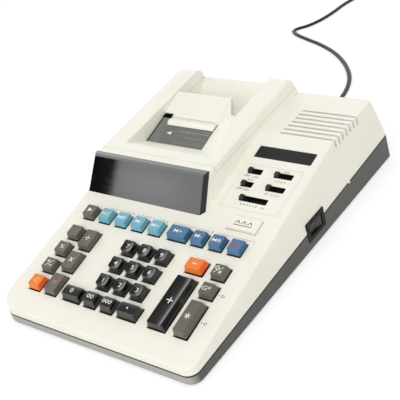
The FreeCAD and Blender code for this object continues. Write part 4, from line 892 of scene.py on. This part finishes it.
@dataclass
class KeyCap:
    """One double-shot key: hollow cap, stop lip under the deck, cross-shaped stem and its sign.

    Attributes:
        node: the CAD node that it stands for.
        finish: of the cap.
        slot: the record's finish.
        crown: shape of the top.
        sign: what stands in the middle of the top.
        ink: finish of the sign.
        base: finish of the inner shell, whose band round the foot is partly real and partly painted shade of
            the gap.
        base_top: height over the deck where the cap ends and the dark band of the inner shell shows.
        foot: height of the walls' lower end, under the deck.
        foot_corner: radius of the foot's corners.
        lip, lip_sheet, lip_corner: width and thickness of the stop lip, and radius of its corners.
        gap: between the walls and the opening in the deck.
        skin: thickness of the cap.
        stem: width of the stem's cross.
        inner_corner: radius of the corners inside the cap.
        joint: how far the inner shell stays off the cap.
    """

    node: str
    finish: Finish
    slot: str
    crown: Crown
    sign: Lettering | Sign
    ink: Finish = Finish.WHITE_INK
    base: Finish = Finish.NYLON
    base_top: float = 0.7
    foot: float = -2.8
    foot_corner: float = 0.9
    lip: float = 1.0
    lip_sheet: float = 1.0
    lip_corner: float = 0.6
    gap: float = 0.35
    skin: float = 1.3
    stem: float = 3.6
    inner_corner: float = 0.5
    joint: float = 0.02

    def __post_init__(self) -> None:
        """Reads the well and the rise from the CAD node."""
        low, high = DECK.extent(self.node)
        form = self.crown.value
        self.middle = (low[:2] + high[:2]) / 2
        self.half = (high[:2] - low[:2]) / 2 - self.lip - self.gap
        self.rise, self.stem_foot = high[2], low[2]
        self.top_half = self.half - np.array([form.left + form.right, form.front + form.rear]) / 2
        self.top_middle = self.middle + np.array([form.left - form.right, form.front - form.rear]) / 2

    def top(self, flat: Points, lift: float = 0.0) -> Points:
        """Puts points of the top's own plane onto the curved top.

        Args:
            flat: x and s from the middle of the top.
            lift: height over the surface.

        Returns:
            Their x, s and n on the deck.
        """
        across, along = (flat / self.top_half).T
        return raised(flat + self.top_middle, self.rise + self.crown.value.height(across, along) + lift)

    def level(self, half: Points, corner: float, n: float, centre: Points | None = None) -> Points:
        """A ring of the cap round its middle, or round another place, at height n."""
        centre = self.middle if centre is None else centre
        return raised(rounded(*half, [corner] * 4, ARC, SIDE) + centre, n)

    def wall(self, crown: Points, share: float) -> Points:
        """A ring of the outer wall.

        It goes straight from crown to foot, except that the front's way forward follows a power of the
        share, more so nearer the middle of the front, which hollows it under the top.

        Args:
            crown: the wall's uppermost ring.
            share: 0 there, 1 at the foot.

        Returns:
            The ring.
        """
        foot = self.level(self.half, self.foot_corner, self.foot)
        ring = crown * (1 - share) + foot * share
        ahead = np.clip((self.middle[1] - foot[:, 1]) / self.half[1], 0, 1) ** 2
        eased = share ** (1 + self.crown.value.scoop * ahead)
        ring[:, 1] = crown[:, 1] * (1 - eased) + foot[:, 1] * eased
        return ring

    def rim(self) -> tuple[list[Points], Points, float]:
        """The upper end of the cap.

        A ledge drops by 0.7 of its width, falls a little outwards and ends in a narrow bevel.

        Returns:
            Rings from the middle of the top over its edge, the ring that the walls start from, and the
            share of the walls that the cap takes.
        """
        form = self.crown.value
        corners = np.array([form.front_corner, form.front_corner, form.rear_corner, form.rear_corner])
        rim = rounded(*self.top_half, corners, ARC, SIDE)
        inner = rounded(*(self.top_half - form.edge), np.maximum(corners - form.edge, 0.2), ARC, SIDE)
        rings = [self.top(inner * share) for share in np.linspace(0.1, 1, 11)]
        shoulder = self.top(inner)[:, 2] - form.edge
        for turn in np.radians((25, 50, 75)):
            flat = inner + (rim - inner) * math.sin(turn)
            rings.append(raised(flat + self.top_middle, shoulder + form.edge * math.cos(turn)))
        crown = raised(rim + self.top_middle, shoulder)
        if form.ledge:
            outward = np.clip((rim[:, 0] - self.top_half[0]) / form.front_corner + 1, 0, 1) * form.ledge
            step = crown - raised(np.zeros_like(rim), outward * 0.7)
            crown = step + np.column_stack([outward, np.zeros(len(rim)), -0.1 * outward])
            rings += [step, step * 0.3 + crown * 0.7]
        height = crown[:, 2].mean()
        return rings, crown, (height - self.base_top) / (height - self.foot)

    def cap(self) -> Points:
        """Rings of the coloured cap: top, walls down to the dark band, and up its hollow."""
        rings, crown, low = self.rim()
        rings += [self.wall(crown, share * low) for share in np.linspace(0, 1, 8)]
        rings += [self.level(self.half - self.skin, self.inner_corner, self.base_top),
                  self.level(self.top_half - self.skin, self.inner_corner, self.rise - 2 * self.skin,
                             self.top_middle)]
        return np.array(rings)

    def inner_shell(self) -> list[Points]:
        """Rings round the dark inner shell: a short wall under the cap, whose band round the foot is partly
        painted shade, and the stop lip under the deck.
        """
        _, crown, low = self.rim()
        stop, hollow = self.half + self.gap + self.lip, self.half - self.skin
        sole = self.foot - self.lip_sheet
        return [self.wall(crown, low) - (0, 0, self.joint), self.wall(crown, 1),
                self.level(stop, self.lip_corner, self.foot), self.level(stop, self.lip_corner, sole),
                self.level(hollow, self.inner_corner, sole),
                self.level(hollow, self.inner_corner, self.base_top - self.joint)]

    def shaft(self) -> Points:
        """Rings of the cross-shaped stem, from its foot into the cap."""
        arm, web = self.stem / 2, self.stem / 6
        quarter = np.array([(arm, web), (web, web), (web, arm)])
        outline = np.concatenate([quarter, quarter[::-1] * (-1, 1), -quarter, quarter[::-1] * (1, -1)])
        levels = ((0.85, self.stem_foot), (1, self.stem_foot + 0.3), (1, self.rise - 1.5 * self.skin))
        return np.array([raised(outline * share + self.middle, n) for share, n in levels])

    def build(self) -> None:
        """Makes the cap and its sign."""
        name, body = self.node.replace("_key", "_cap"), frame["nodes"][self.node]["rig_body"]
        cap = Skin().loft(DECK.place(self.cap())).made(name, self.finish, body, self.slot, CRISP)
        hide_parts(self.node)
        # dark inner shell whose band round the foot is partly painted shade of the gap round the key
        base = Skin().ring_shell(DECK.place(self.inner_shell())).loft(DECK.place(self.shaft()))
        base.made(self.node.replace("_key", "_inner_shell"), self.base, body, self.slot, CRISP)
        self.sign.draw().printed(name + "_sign", lambda flat: DECK.place(self.top(flat, PRINT_LIFT)),
                                 self.ink, body, self.slot)


class Keyboard:
    """All 35 keys with their colours, crowns and signs."""

    def keys(self) -> list[KeyCap]:
        """The keys, group by group."""
        black = (Finish.BLACK_KEY, "black_key")
        grey = (Finish.GREY_KEY, "grey_key")
        sky = (Finish.SKY_KEY, "light_blue_key", Crown.PLAIN)
        blue = (Finish.BLUE_KEY, "blue_key", Crown.PLAIN)
        orange = (Finish.ORANGE_KEY, "orange_key")
        keys = [KeyCap(f"digit_{digit}_key", *black, Crown.BOWL, Lettering(digit)) for digit in "123456789"]
        keys += [KeyCap("digit_0_key", *black, Crown.BAR, Lettering("0")),
                 KeyCap("double_zero_key", *black, Crown.BAR, Lettering("00")),
                 KeyCap("triple_zero_key", *black, Crown.BAR, Lettering("000", 3.8)),
                 KeyCap("point_key", *black, Crown.BAR, Sign.POINT),
                 KeyCap("plus_key", *black, Crown.TROUGH, Sign.PLUS),
                 KeyCap("minus_key", *orange, Crown.RIDGE, Sign.MINUS),
                 KeyCap("subtotal_key", *grey, Crown.SLOPED, Sign.SUBTOTAL),
                 KeyCap("grand_total_key", *grey, Crown.SLOPED, Lettering("G*")),
                 KeyCap("total_key", *grey, Crown.SLOPED, Sign.TOTAL),
                 KeyCap("clear_key", *orange, Crown.PLAIN, Lettering("C", 4.6), Finish.YELLOW_INK),
                 KeyCap("sign_key", *grey, Crown.PLAIN, Sign.CHANGE),
                 KeyCap("percent_key", *grey, Crown.PLAIN, Lettering("%", 4.4, 1.2)),
                 KeyCap("clear_entry_key", *grey, Crown.PLAIN, Lettering("CE", 3.6), Finish.RED_INK),
                 KeyCap("equals_key", *grey, Crown.BLOCK, Sign.EQUALS, Finish.AMBER_INK),
                 KeyCap("multiply_key", *grey, Crown.BLOCK, Sign.MULTIPLY),
                 KeyCap("divide_key", *grey, Crown.BLOCK, Sign.DIVIDE),
                 KeyCap("print_advance_key", *grey, Crown.PLAIN, Sign.ADVANCE),
                 KeyCap("rate_key", *sky, Lettering("MC", 3.4, 1.4), Finish.YELLOW_INK),
                 KeyCap("feed_key", Finish.IVORY_KEY, "ivory_key", Crown.FLUSH, Sign.FEED, Finish.DARK_INK,
                        Finish.IVORY_KEY)]
        memory = ((sky, "cost", "MR"), (sky, "sell", "M-"), (sky, "margin", "M+"), (blue, "tax", "M+"),
                  (blue, "memory_total", "M-"), (blue, "memory_recall", "MR"))
        keys += [KeyCap(f"{name}_key", *kind, Lettering(text, 3.6, 1.4)) for kind, name, text in memory]
        return keys + [KeyCap("memory_plus_key", *blue, Lettering("MC", 3.4, 1.4), Finish.RED_INK)]

    def build(self) -> None:
        """Makes every key."""
        for key in self.keys():
            key.build()


@dataclass(frozen=True)
class DeckPrint:
    """What is printed on the key deck, and the bare plate over it; places are x and s on the deck.

    Attributes:
        row: s of the lines behind the back row of keys.
        brackets: first and last x of each line.
        gap: half the break in the middle of each line, where its number stands.
        fall: how far its outer end turns down.
        fine: width of the lines.
        size, wide: height of the words beside the switches, and how far they are stretched.
        words: the words and numbers beside the switches, with the place of each one's middle.
        outline: least x and s, greatest x and s of the frame round the slide switches.
        plate: the same of the name plate.
    """

    row: float = 126.0
    brackets: tuple = ((-67.0, 1.5), (8.0, 94.2))
    gap: float = 3.0
    fall: float = 3.8
    fine: float = 0.3
    size: float = 2.3
    wide: float = 1.25
    words: tuple = (
        ("OFF", 46.9, 192.6), ("ON", 55.7, 192.2), ("OFF", 47.3, 177.2), ("ON", 55.0, 176.9),
        ("5/4", 52.4, 188.5), ("1 2 3 4", 82.0, 192.0), ("ON", 82.6, 203.4), ("0 1 2 3 4", 82.0, 176.4),
        ("6 4 3 2 1 0", 66.8, 161.0), ("12", 81.2, 160.6))
    outline: tuple = (39.6, 155.4, 98.6, 206.6)
    plate: tuple = (40.7, 215.5, 99.7, 229.3)

    def bracket_lines(self) -> Artwork:
        """A line over each group of memory keys, turned down at its outer end."""
        art = Artwork()
        for first, last in self.brackets:
            left, right = (first + last) / 2 - self.gap, (first + last) / 2 + self.gap
            art.line(((first, self.row), (left, self.row)), self.fine)
            art.line(((right, self.row), (last, self.row), (last, self.row - self.fall)), self.fine)
        return art

    def switch_frame(self) -> Artwork:
        """The fine frame round the slide switches."""
        x0, s0, x1, s1 = self.outline
        return Artwork().line(((x0, s0), (x1, s0), (x1, s1), (x0, s1)), 0.4, closed=True)

    def legends(self) -> Artwork:
        """Generic words and numbers beside the switches, and marks beside the total keys."""
        art = Artwork()
        for number, (first, last) in enumerate(self.brackets, 1):
            art.sign(str(number), ((first + last) / 2, self.row), 2.4)
        for text, x, s in self.words:
            art.sign(text, (x, s), self.size, 0.0, self.wide)
        for s in (69.2, 41.8):
            art.line(((92.2, s), (93.4, s)), 0.5)
            art.line(((94.9, s), (96.5, s + 1.3), (98.1, s), (96.5, s - 1.3)), 0.45, closed=True)
        return art

    def build(self) -> None:
        """Prints the marks and lays the plate in its recess."""
        for name, art, ink in (("bracket_lines", self.bracket_lines(), Finish.BROWN_INK),
                               ("switch_frame", self.switch_frame(), Finish.PALE_INK),
                               ("deck_legends", self.legends(), Finish.DARK_INK)):
            art.printed(name, DECK.surface(), ink, "case", "ivory_abs")
        x0, s0, x1, s1 = self.plate
        plate = Skin().box((x0, s0, -0.78), (x1, s1, 0.02), put=DECK.place)
        plate.made("bare_plate", Finish.PLATE, "case", "charcoal_abs")


@dataclass(frozen=True)
class SwitchSlots:
    """Black liners in the slots of the slide switches, with a thin rim on the deck: painted shade in the
    slots.

    Attributes:
        slots: x and s of the middle of each slot, and its length.
        width: of every slot.
        corner: radius of its corners.
        rim: how far the liner reaches over the deck on each side.
        lift: thickness of that rim.
        sheet: its thickness inside the slot.
        depth: how far down it goes, the thickness of the deck.
    """

    slots: tuple = ((52.25, 198.5, 13.5), (81.9, 198.5, 17.8), (52.5, 182.9, 11.0), (81.9, 182.9, 17.8),
                    (68.25, 167.3, 27.5))
    width: float = 5.4
    corner: float = 0.5
    rim: float = 0.45
    lift: float = 0.06
    sheet: float = 0.15
    depth: float = 2.5

    def build(self) -> None:
        """Makes the painted-shade liners; each is one closed section, 0.01 mm clear of its slot, carried
        round it.
        """
        skin = Skin()
        section = ((-0.01, -self.depth), (-0.01, 0.0), (self.rim, 0.0), (self.rim, self.lift),
                   (-self.sheet, self.lift), (-self.sheet, -self.depth))
        for x, s, length in self.slots:
            rings = []
            for out, n in section:
                ring = rounded(length / 2 + out, self.width / 2 + out, [self.corner + out] * 4, 4, 2)
                rings.append(raised(ring + (x, s), n))
            skin.ring_shell(DECK.place(rings))
        skin.made("painted_slot_shade", Finish.SWITCH, "case", "black_nylon")


@dataclass(frozen=True)
class SeamTab:
    """The small tab of the upper case that shows in the seam on the right side, from corner to corner."""

    low: tuple[float, float, float] = (108.6, 84.8, 21.0)
    high: tuple[float, float, float] = (109.97, 87.2, 22.5)

    def build(self) -> None:
        """Makes the tab."""
        Skin().box(self.low, self.high).made("seam_tab", Finish.IVORY, "case", "ivory_abs")


@dataclass(frozen=True)
class GuideWing:
    """The pale sheet that closes the bay to the right of the paper guide, level with its ramp.

    Attributes:
        ramp: the ramp's plane.
        outline: its corners as x and distance up the ramp.
        sheet: heights of its lower and upper face over the ramp.
    """

    ramp: Deck = Deck(71.5, 74.6, 21.1)
    outline: tuple = ((-15.1, 0.1), (5.7, 0.1), (5.7, 11.5), (-6.0, 13.0), (-15.1, 30.3))
    sheet: tuple[float, float] = (-1.6, -0.05)

    def build(self) -> None:
        """Makes the sheet."""
        skin = Skin().loft(self.ramp.place([raised(np.array(self.outline), n) for n in self.sheet]))
        skin.made("guide_wing", Finish.IVORY, frame["nodes"]["paper_guide"]["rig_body"], "ivory_abs")


@dataclass(frozen=True)
class WindowPrint:
    """Marks on the printer window: an arrow, a column scale and two fine lines, and its dark left edge.

    Attributes:
        plane: the window's upper face.
        lift: height of the print over it.
    """

    plane: Deck = Deck(41.0, 65.0, 15.4)
    lift: float = 0.04

    def scale(self) -> Artwork:
        """The column scale, every fourth mark longer, with dashes behind it and two lines behind those."""
        art = Artwork()
        for number, x in enumerate(np.arange(-52, -17, 2.2)):
            art.line(((x, 3.0), (x, 4.6 + 0.8 * (number % 4 == 0))), 0.6)
        art.line(((-51.8, 17.8), (-16.5, 17.8)), 0.9).line(((-24.0, 20.6), (-16.2, 20.6)), 0.7)
        for x in np.arange(-43.0, -17.5, 2.6):
            art.line(((x, 11.2), (x + 1.7, 11.0)), 0.8)
        return art

    def build(self) -> None:
        """Prints the marks."""
        body = frame["nodes"]["printer_window"]["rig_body"]
        arrow = Artwork().shape(((-66.3, 14.0), (-60.2, 12.0), (-60.2, 16.2)))
        edge = Artwork().line(((-81.8, 0.3), (-81.8, 32.0)), 1.7)
        for name, art, ink in (("window_arrow", arrow, Finish.WHITE_INK),
                               ("window_scale", self.scale(), Finish.SMOKE_INK),
                               ("window_edge_line", edge, Finish.BLACK_INK)):
            art.printed(name, self.plane.surface(self.lift), ink, body, "smoked_acrylic")


@dataclass(frozen=True)
class PowerLead:
    """The mains lead: oval flexible cord with its coil, strain relief, tie and two-pin plug.

    Attributes:
        width, height: of the cord's oval section.
        free: control points of its free run.
        exit_x, exit_z: middle of the hole in the rear wall.
        gland: length of the strain relief behind that wall.
        coil_x, coil_y: where the coil's first turn starts.
        coil_radius: of its outer turn.
        pitch: distance between neighbouring turns.
        low, high: heights of the middle of its two layers.
        between: height halfway between them.
        half_turns: of the coil; half of them go inward.
        tail: how far the cord runs on past the coil, into the plug.
        plug_z: height of the plug's middle.
        pin: how far each pin stands to the side of it.
        band: half the width of the tie.
    """

    width: float = 5.0
    height: float = 3.4
    free: tuple = (
        (8, 194, 13), (8, 206, 13), (8.6, 226, 6.2), (7.5, 247, 1.8), (3.5, 274, 1.8), (-7, 300, 1.8),
        (-26, 325, 1.8), (-52, 349, 1.8), (-82, 367, 1.8), (-112, 379.5, 1.8), (-131, 388, 1.8),
        (-141.5, 396.5, 1.8), (-139.5, 404.5, 1.8), (-129, 413, 1.8), (-120, 431, 1.8),
        (-114.5, 454, 1.8), (-112, 480, 1.8), (-104, 505, 1.8), (-100, 530, 2.2), (-100, 548, 2.8))
    exit_x: float = 8.0
    exit_z: float = 13.0
    gland: float = 28.0
    coil_x: float = -100.0
    coil_y: float = 560.0
    coil_radius: float = 36.2
    pitch: float = 5.8
    low: float = 2.8
    high: float = 6.4
    between: float = 4.55
    half_turns: int = 12
    tail: float = 36.0
    plug_z: float = 7.4
    pin: float = 9.5
    band: float = 3.2

    def coil(self) -> Points:
        """Twelve points a turn: six half turns inward, one that climbs, five outward.

        Each half turn is a half circle to the left that starts where the last one ended; its points
        stand out by the cosine of half their spacing, because the line passes inside them.
        """
        spread = np.radians(np.arange(15, 180, 30))
        reach = 1 / math.cos(math.radians(15))
        points, x, heading = [], self.coil_x, 1
        for turn in range(self.half_turns):
            radius = self.coil_radius - self.pitch / 2 * min(turn, self.half_turns - turn)
            climb = np.clip(turn - self.half_turns / 2 + spread / math.pi, 0, 1)
            across = x - heading * radius * (1 - reach * np.cos(spread))
            points.append(np.column_stack([across, self.coil_y + heading * radius * reach * np.sin(spread),
                                           self.low + (self.high - self.low) * climb]))
            x, heading = x - heading * 2 * radius, -heading
        return np.concatenate(points)

    def run_out(self) -> Points:
        """The last points, from the coil into the plug."""
        return np.array([(self.coil_x, self.coil_y + ahead, z) for ahead, z in (
            (4.0, self.high), (self.tail * 0.4, self.high + 0.2), (self.tail * 0.75, self.plug_z),
            (self.tail, self.plug_z))])

    def section(self) -> Points:
        """Oval with a shallow groove along its flat sides, as twin flexible cord has.

        The height over a place across follows an ellipse, less a narrow dip in the middle.
        """
        oval = circle(0.5, 24) * (self.width, self.height)
        oval[:, 1] *= 1 - 0.16 * np.exp(-(oval[:, 0] / 0.55) ** 2)
        return oval

    def line(self) -> Points:
        """Points along the cord's NURBS line, in metres."""
        curve = bpy.data.curves.new("cord_route", "CURVE")
        curve.dimensions, curve.resolution_u = "3D", 6
        spline = curve.splines.new("NURBS")
        control = np.concatenate([np.array(self.free, float), self.coil(), self.run_out()]) * MM
        spline.points.add(len(control) - 1)
        spline.points.foreach_set("co", np.column_stack([control, np.ones(len(control))]).ravel())
        spline.order_u = 3
        spline.use_endpoint_u = True
        return drawn(curve)[0]

    def relief(self) -> bpy.types.Object:
        """Strain relief: two flanges in the wall, then a taper with rings cut round it.

        The radius falls evenly along the taper, less a rounded groove at each ring.
        """
        along = np.linspace(0, 1, 97)
        grooves = 0.75 * np.clip(np.sin(along * math.tau * 7), 0, 1) ** 0.6 * (along < 0.93)
        sleeve = np.column_stack([2 + self.gland * along, 5.0 - 1.7 * along - grooves])
        mount = ((-4.3, 6.4), (-4.3, 7), (-2.8, 7), (-2.8, 5), (0.1, 5), (0.1, 6.6), (0.5, 7), (1.6, 7),
                 (2, 6.6))
        rings = lathed(np.concatenate([mount, sleeve]), (self.exit_x, HALF_DEPTH, self.exit_z), 32)
        return Skin().loft(rings).made("strain_relief", Finish.PVC, "case", "black_nylon", 45)

    def tie(self) -> bpy.types.Object:
        """A strap round all the turns, on the far side of the coil.

        Its line is a flat loop across the turns and its section a thin upright band.
        """
        middle_x = self.coil_x - self.coil_radius - self.pitch / 4
        middle = (self.coil_y + self.coil_radius - 1.6 * self.pitch, self.between)
        loop = rounded(self.pitch * 2.1 + 0.4, 4.3, [2.2] * 4, 6, 3)
        corners = ((-self.band, 0.955), (-self.band, 1.0), (self.band, 1.0), (self.band, 0.955))
        rings = [np.column_stack([np.full(len(loop), middle_x + across), loop * share + middle])
                 for across, share in corners]
        return Skin().ring_shell(rings).made("cord_tie", Finish.PVC, "case", "black_nylon")

    def plug(self) -> bpy.types.Object:
        """Flat two-pin plug: a necked grip that widens to its face, finger hollows and two round pins.

        Each ring is a superellipse of the fourth degree whose half sizes swell smoothly along the plug.
        """
        along = np.array([0, 0.5, 2, 4, 6, 8, 10, 13, 16, 19, 22, 25, 28, 29.5, 30.3, 30.6])[:, None]
        close = np.array([0.86] + [1] * 12 + [0.985, 0.95, 0.9])[:, None]
        swell = np.clip((along - 3) / 14, 0, 1)
        swell = swell * swell * (3 - 2 * swell)
        half_x = (3.6 + 13.2 * swell) * close
        half_z = (3.1 + 3.7 * swell - 1.0 * np.exp(-((along - 20) / 3.6) ** 2)) * close
        across, up = (np.sign(side) * np.abs(side) ** (1 / (1 + swell)) for side in circle(1, 40).T)
        y = np.repeat(self.coil_y + self.tail - 2.5 + along, 40, 1)
        rings = np.stack([self.coil_x + half_x * across, y, self.plug_z + half_z * up], -1)
        return Skin().loft(rings).made("plug_grip", Finish.PVC, "case", "black_nylon", 50)

    def pins(self) -> bpy.types.Object:
        """Two round pins with sleeves and rounded tips; their radius follows a turned profile."""
        profile = np.array([(-1, 2.4), (0.8, 2.4), (0.9, 2.0), (9.5, 2.0), (9.6, 1.88), (17.6, 1.88),
                            (18.6, 1.55), (19.1, 0.9)])
        skin = Skin()
        for across in (-self.pin, self.pin):
            start = (self.coil_x + across, self.coil_y + self.tail + 27.5, self.plug_z)
            skin.loft(lathed(profile, start, 24))
        return skin.made("plug_pins", Finish.PIN, "case", "zinc_steel", CRISP)

    def build(self) -> None:
        line = self.line()
        cord = Skin().tube(line / MM, self.section()).made("mains_cord", Finish.PVC, "case", "cord_pvc", 50)
        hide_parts("power_cord", "cord_coil")
        plug, pins, tie, relief = self.plug(), self.pins(), self.tie(), self.relief()
        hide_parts("power_plug")
        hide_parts("cord_gland")
        length = float(np.linalg.norm(np.diff(line, axis=0), axis=1).sum())
        LOG.info("cord length %.3f m", length)
        tuple(line[0])
        [tuple(point) for point in line]


@dataclass(frozen=True)
class Studio:
    """White table, even sky, one large soft lamp and the camera that took the photograph.

    Attributes:
        place: of the camera.
        azimuth, elevation, roll: of its view, in degrees.
        lens: focal length over a 36 mm wide sensor.
        table: half the table's width, in metres.
        sky: strength of the world's light.
        horizon, ceiling: strength of the studio's lower and upper part in reflections.
        front: strength of its front in reflections.
        card: how far to the left, as a direction's x, a black card stands in front of the object.
        lamp_place, lamp_size: of the soft lamp, in metres.
        lamp_power: in watts.
    """

    place: tuple[float, float, float] = (493.8, -490.4, 481.7)
    azimuth: float = 44.83726
    elevation: float = 32.53339
    roll: float = -16.20317
    lens: float = 81.8082
    table: float = 6.0
    sky: float = 0.87
    horizon: float = 2.6
    ceiling: float = 0.25
    front: float = 3.1
    card: float = -0.6693
    lamp_place: tuple[float, float, float] = (0.7, -1.7, 1.5)
    lamp_size: float = 1.4
    lamp_power: float = 17.0

    def camera(self) -> None:
        """Puts the camera in its place."""
        turn, fall, roll = (math.radians(angle) for angle in (self.azimuth, self.elevation, self.roll))
        ahead = Vector((-math.sin(turn) * math.cos(fall), math.cos(turn) * math.cos(fall), -math.sin(fall)))
        level = Vector((math.cos(turn), math.sin(turn), 0))
        right = level * math.cos(roll) + level.cross(ahead) * math.sin(roll)
        data = bpy.data.cameras.new("camera")
        data.lens, data.sensor_width, data.clip_end = self.lens, 36, 50
        holder = placed("camera", data)
        turned = Matrix((right, right.cross(ahead), -ahead)).transposed().to_4x4()
        holder.matrix_world = Matrix.Translation(Vector(self.place) * MM) @ turned
        bpy.context.scene.camera = holder

    def floor(self) -> None:
        """The table: white, half of what is seen of it being its own light, so that it keeps a shadow.

        Rays from the camera, mirrors and glass see that light; the others see plain paper.
        """
        half = self.table
        mesh = bpy.data.meshes.new("table")
        mesh.from_pydata([(-half, -half, 0), (half, -half, 0), (half, half, 0), (-half, half, 0)], [],
                         [(0, 1, 2, 3)])
        shader = Shader("white table paper")
        rays = shader.add("LightPath").node.outputs
        seen = shader.add("Math", rays["Is Camera Ray"], rays["Is Glossy Ray"], operation="MAXIMUM")
        seen = shader.add("Math", seen, rays["Is Transmission Ray"], operation="MAXIMUM")
        paper = shader.add("BsdfDiffuse", "#E4E4E2")
        pale = shader.add("BsdfDiffuse", (0.5, 0.5, 0.5, 1))
        shown = shader.add("AddShader", pale, shader.add("Emission", "#FFFFFF", 0.55))
        mesh.materials.append(shader.finish(shader.add("MixShader", seen, paper, shown)))
        placed("table", mesh)

    def world(self) -> None:
        """An even sky that shows white; reflections find a bright horizon, a dim ceiling and a black card."""
        shader = Shader("sky", bpy.data.worlds)
        rays = shader.add("LightPath").node.outputs
        towards = shader.add("SeparateXYZ", shader.add("TexCoord", out="Generated")).node.outputs
        behind = shader.add("MapRange", towards["Z"], 0.5, 0.7, self.horizon, self.ceiling)
        ahead = shader.add("MapRange", towards["X"], self.card - 0.002, self.card + 0.002, 0.0, self.front)
        right = shader.add("MapRange", towards["X"], 0.6, 0.7, 1, 0.25)
        ahead = shader.add("Math", ahead, right, operation="MULTIPLY")
        share = shader.add("MapRange", towards["Y"], -0.3, -0.4, 0, 1)
        mirrored = shader.add("Mix", share, behind, ahead)
        strength = shader.add("Mix", rays["Is Glossy Ray"], self.sky, mirrored)
        light = shader.add("Background", "#FFFFFF", strength)
        shown = shader.add("Background", "#FFFFFF", 1.0)
        mix = shader.add("MixShader", rays["Is Camera Ray"], light, shown)
        bpy.context.scene.world = shader.finish(mix, "OutputWorld")

    def lamp(self) -> None:
        """A square soft lamp that faces the object."""
        data = bpy.data.lights.new("soft_lamp", "AREA")
        data.size, data.energy = self.lamp_size, self.lamp_power
        holder = placed("soft_lamp", data)
        holder.location = self.lamp_place
        towards = Vector((0, 0, 0.04)) - Vector(self.lamp_place)
        holder.rotation_euler = towards.to_track_quat("-Z", "Y").to_euler()

    def build(self) -> None:
        """Sets camera, table, sky and lamp."""
        self.camera()
        self.floor()
        self.world()
        self.lamp()
        bpy.context.scene.view_settings.view_transform = "Standard"


class Housing:
    """The CAD pieces that stay as they are, each in its finish."""

    finishes = {
        Finish.IVORY: ("upper_case", "printer_cover", "paper_guide"),
        Finish.CHARCOAL: ("lower_case",),
        Finish.WINDOW: ("display_window",),
        Finish.RIBBON_WINDOW: ("printer_window",),
        Finish.GLASS: ("display_tube",),
        Finish.SILICONE: ("dome_mat",),
        Finish.BOARD: ("main_board",),
        Finish.CORE: ("power_transformer",),
        Finish.ZINC: ("printer_frame", "case_screws"),
        Finish.PLATEN: ("platen_roller",),
        Finish.SWITCH: ("power_switch",),
        Finish.NYLON: ("power_rocker", "print_switch_knob", "item_switch_knob",
                       "rounding_switch_knob", "add_mode_switch_knob", "decimal_switch_knob"),
        Finish.FOOT: ("feet",),
    }

    def build(self) -> None:
        """Gives every kept CAD node its finish."""
        for finish, nodes in self.finishes.items():
            for node in nodes:
                for slot in frame["nodes"][node].material_slots:
                    slot.material = finish.material()
                LOG.info("%s: %s", node, finish.value.name)


def main() -> None:
    """Builds the scene."""
    logging.basicConfig(level=logging.INFO, format="%(message)s")
    for part in (Studio(), PowerLead(), Housing(), DeckPrint(), SwitchSlots(), SeamTab(), GuideWing(),
                 WindowPrint(), Keyboard()):
        part.build()
        LOG.info("%s built", type(part).__name__)


if __name__ == "__main__":
    main()
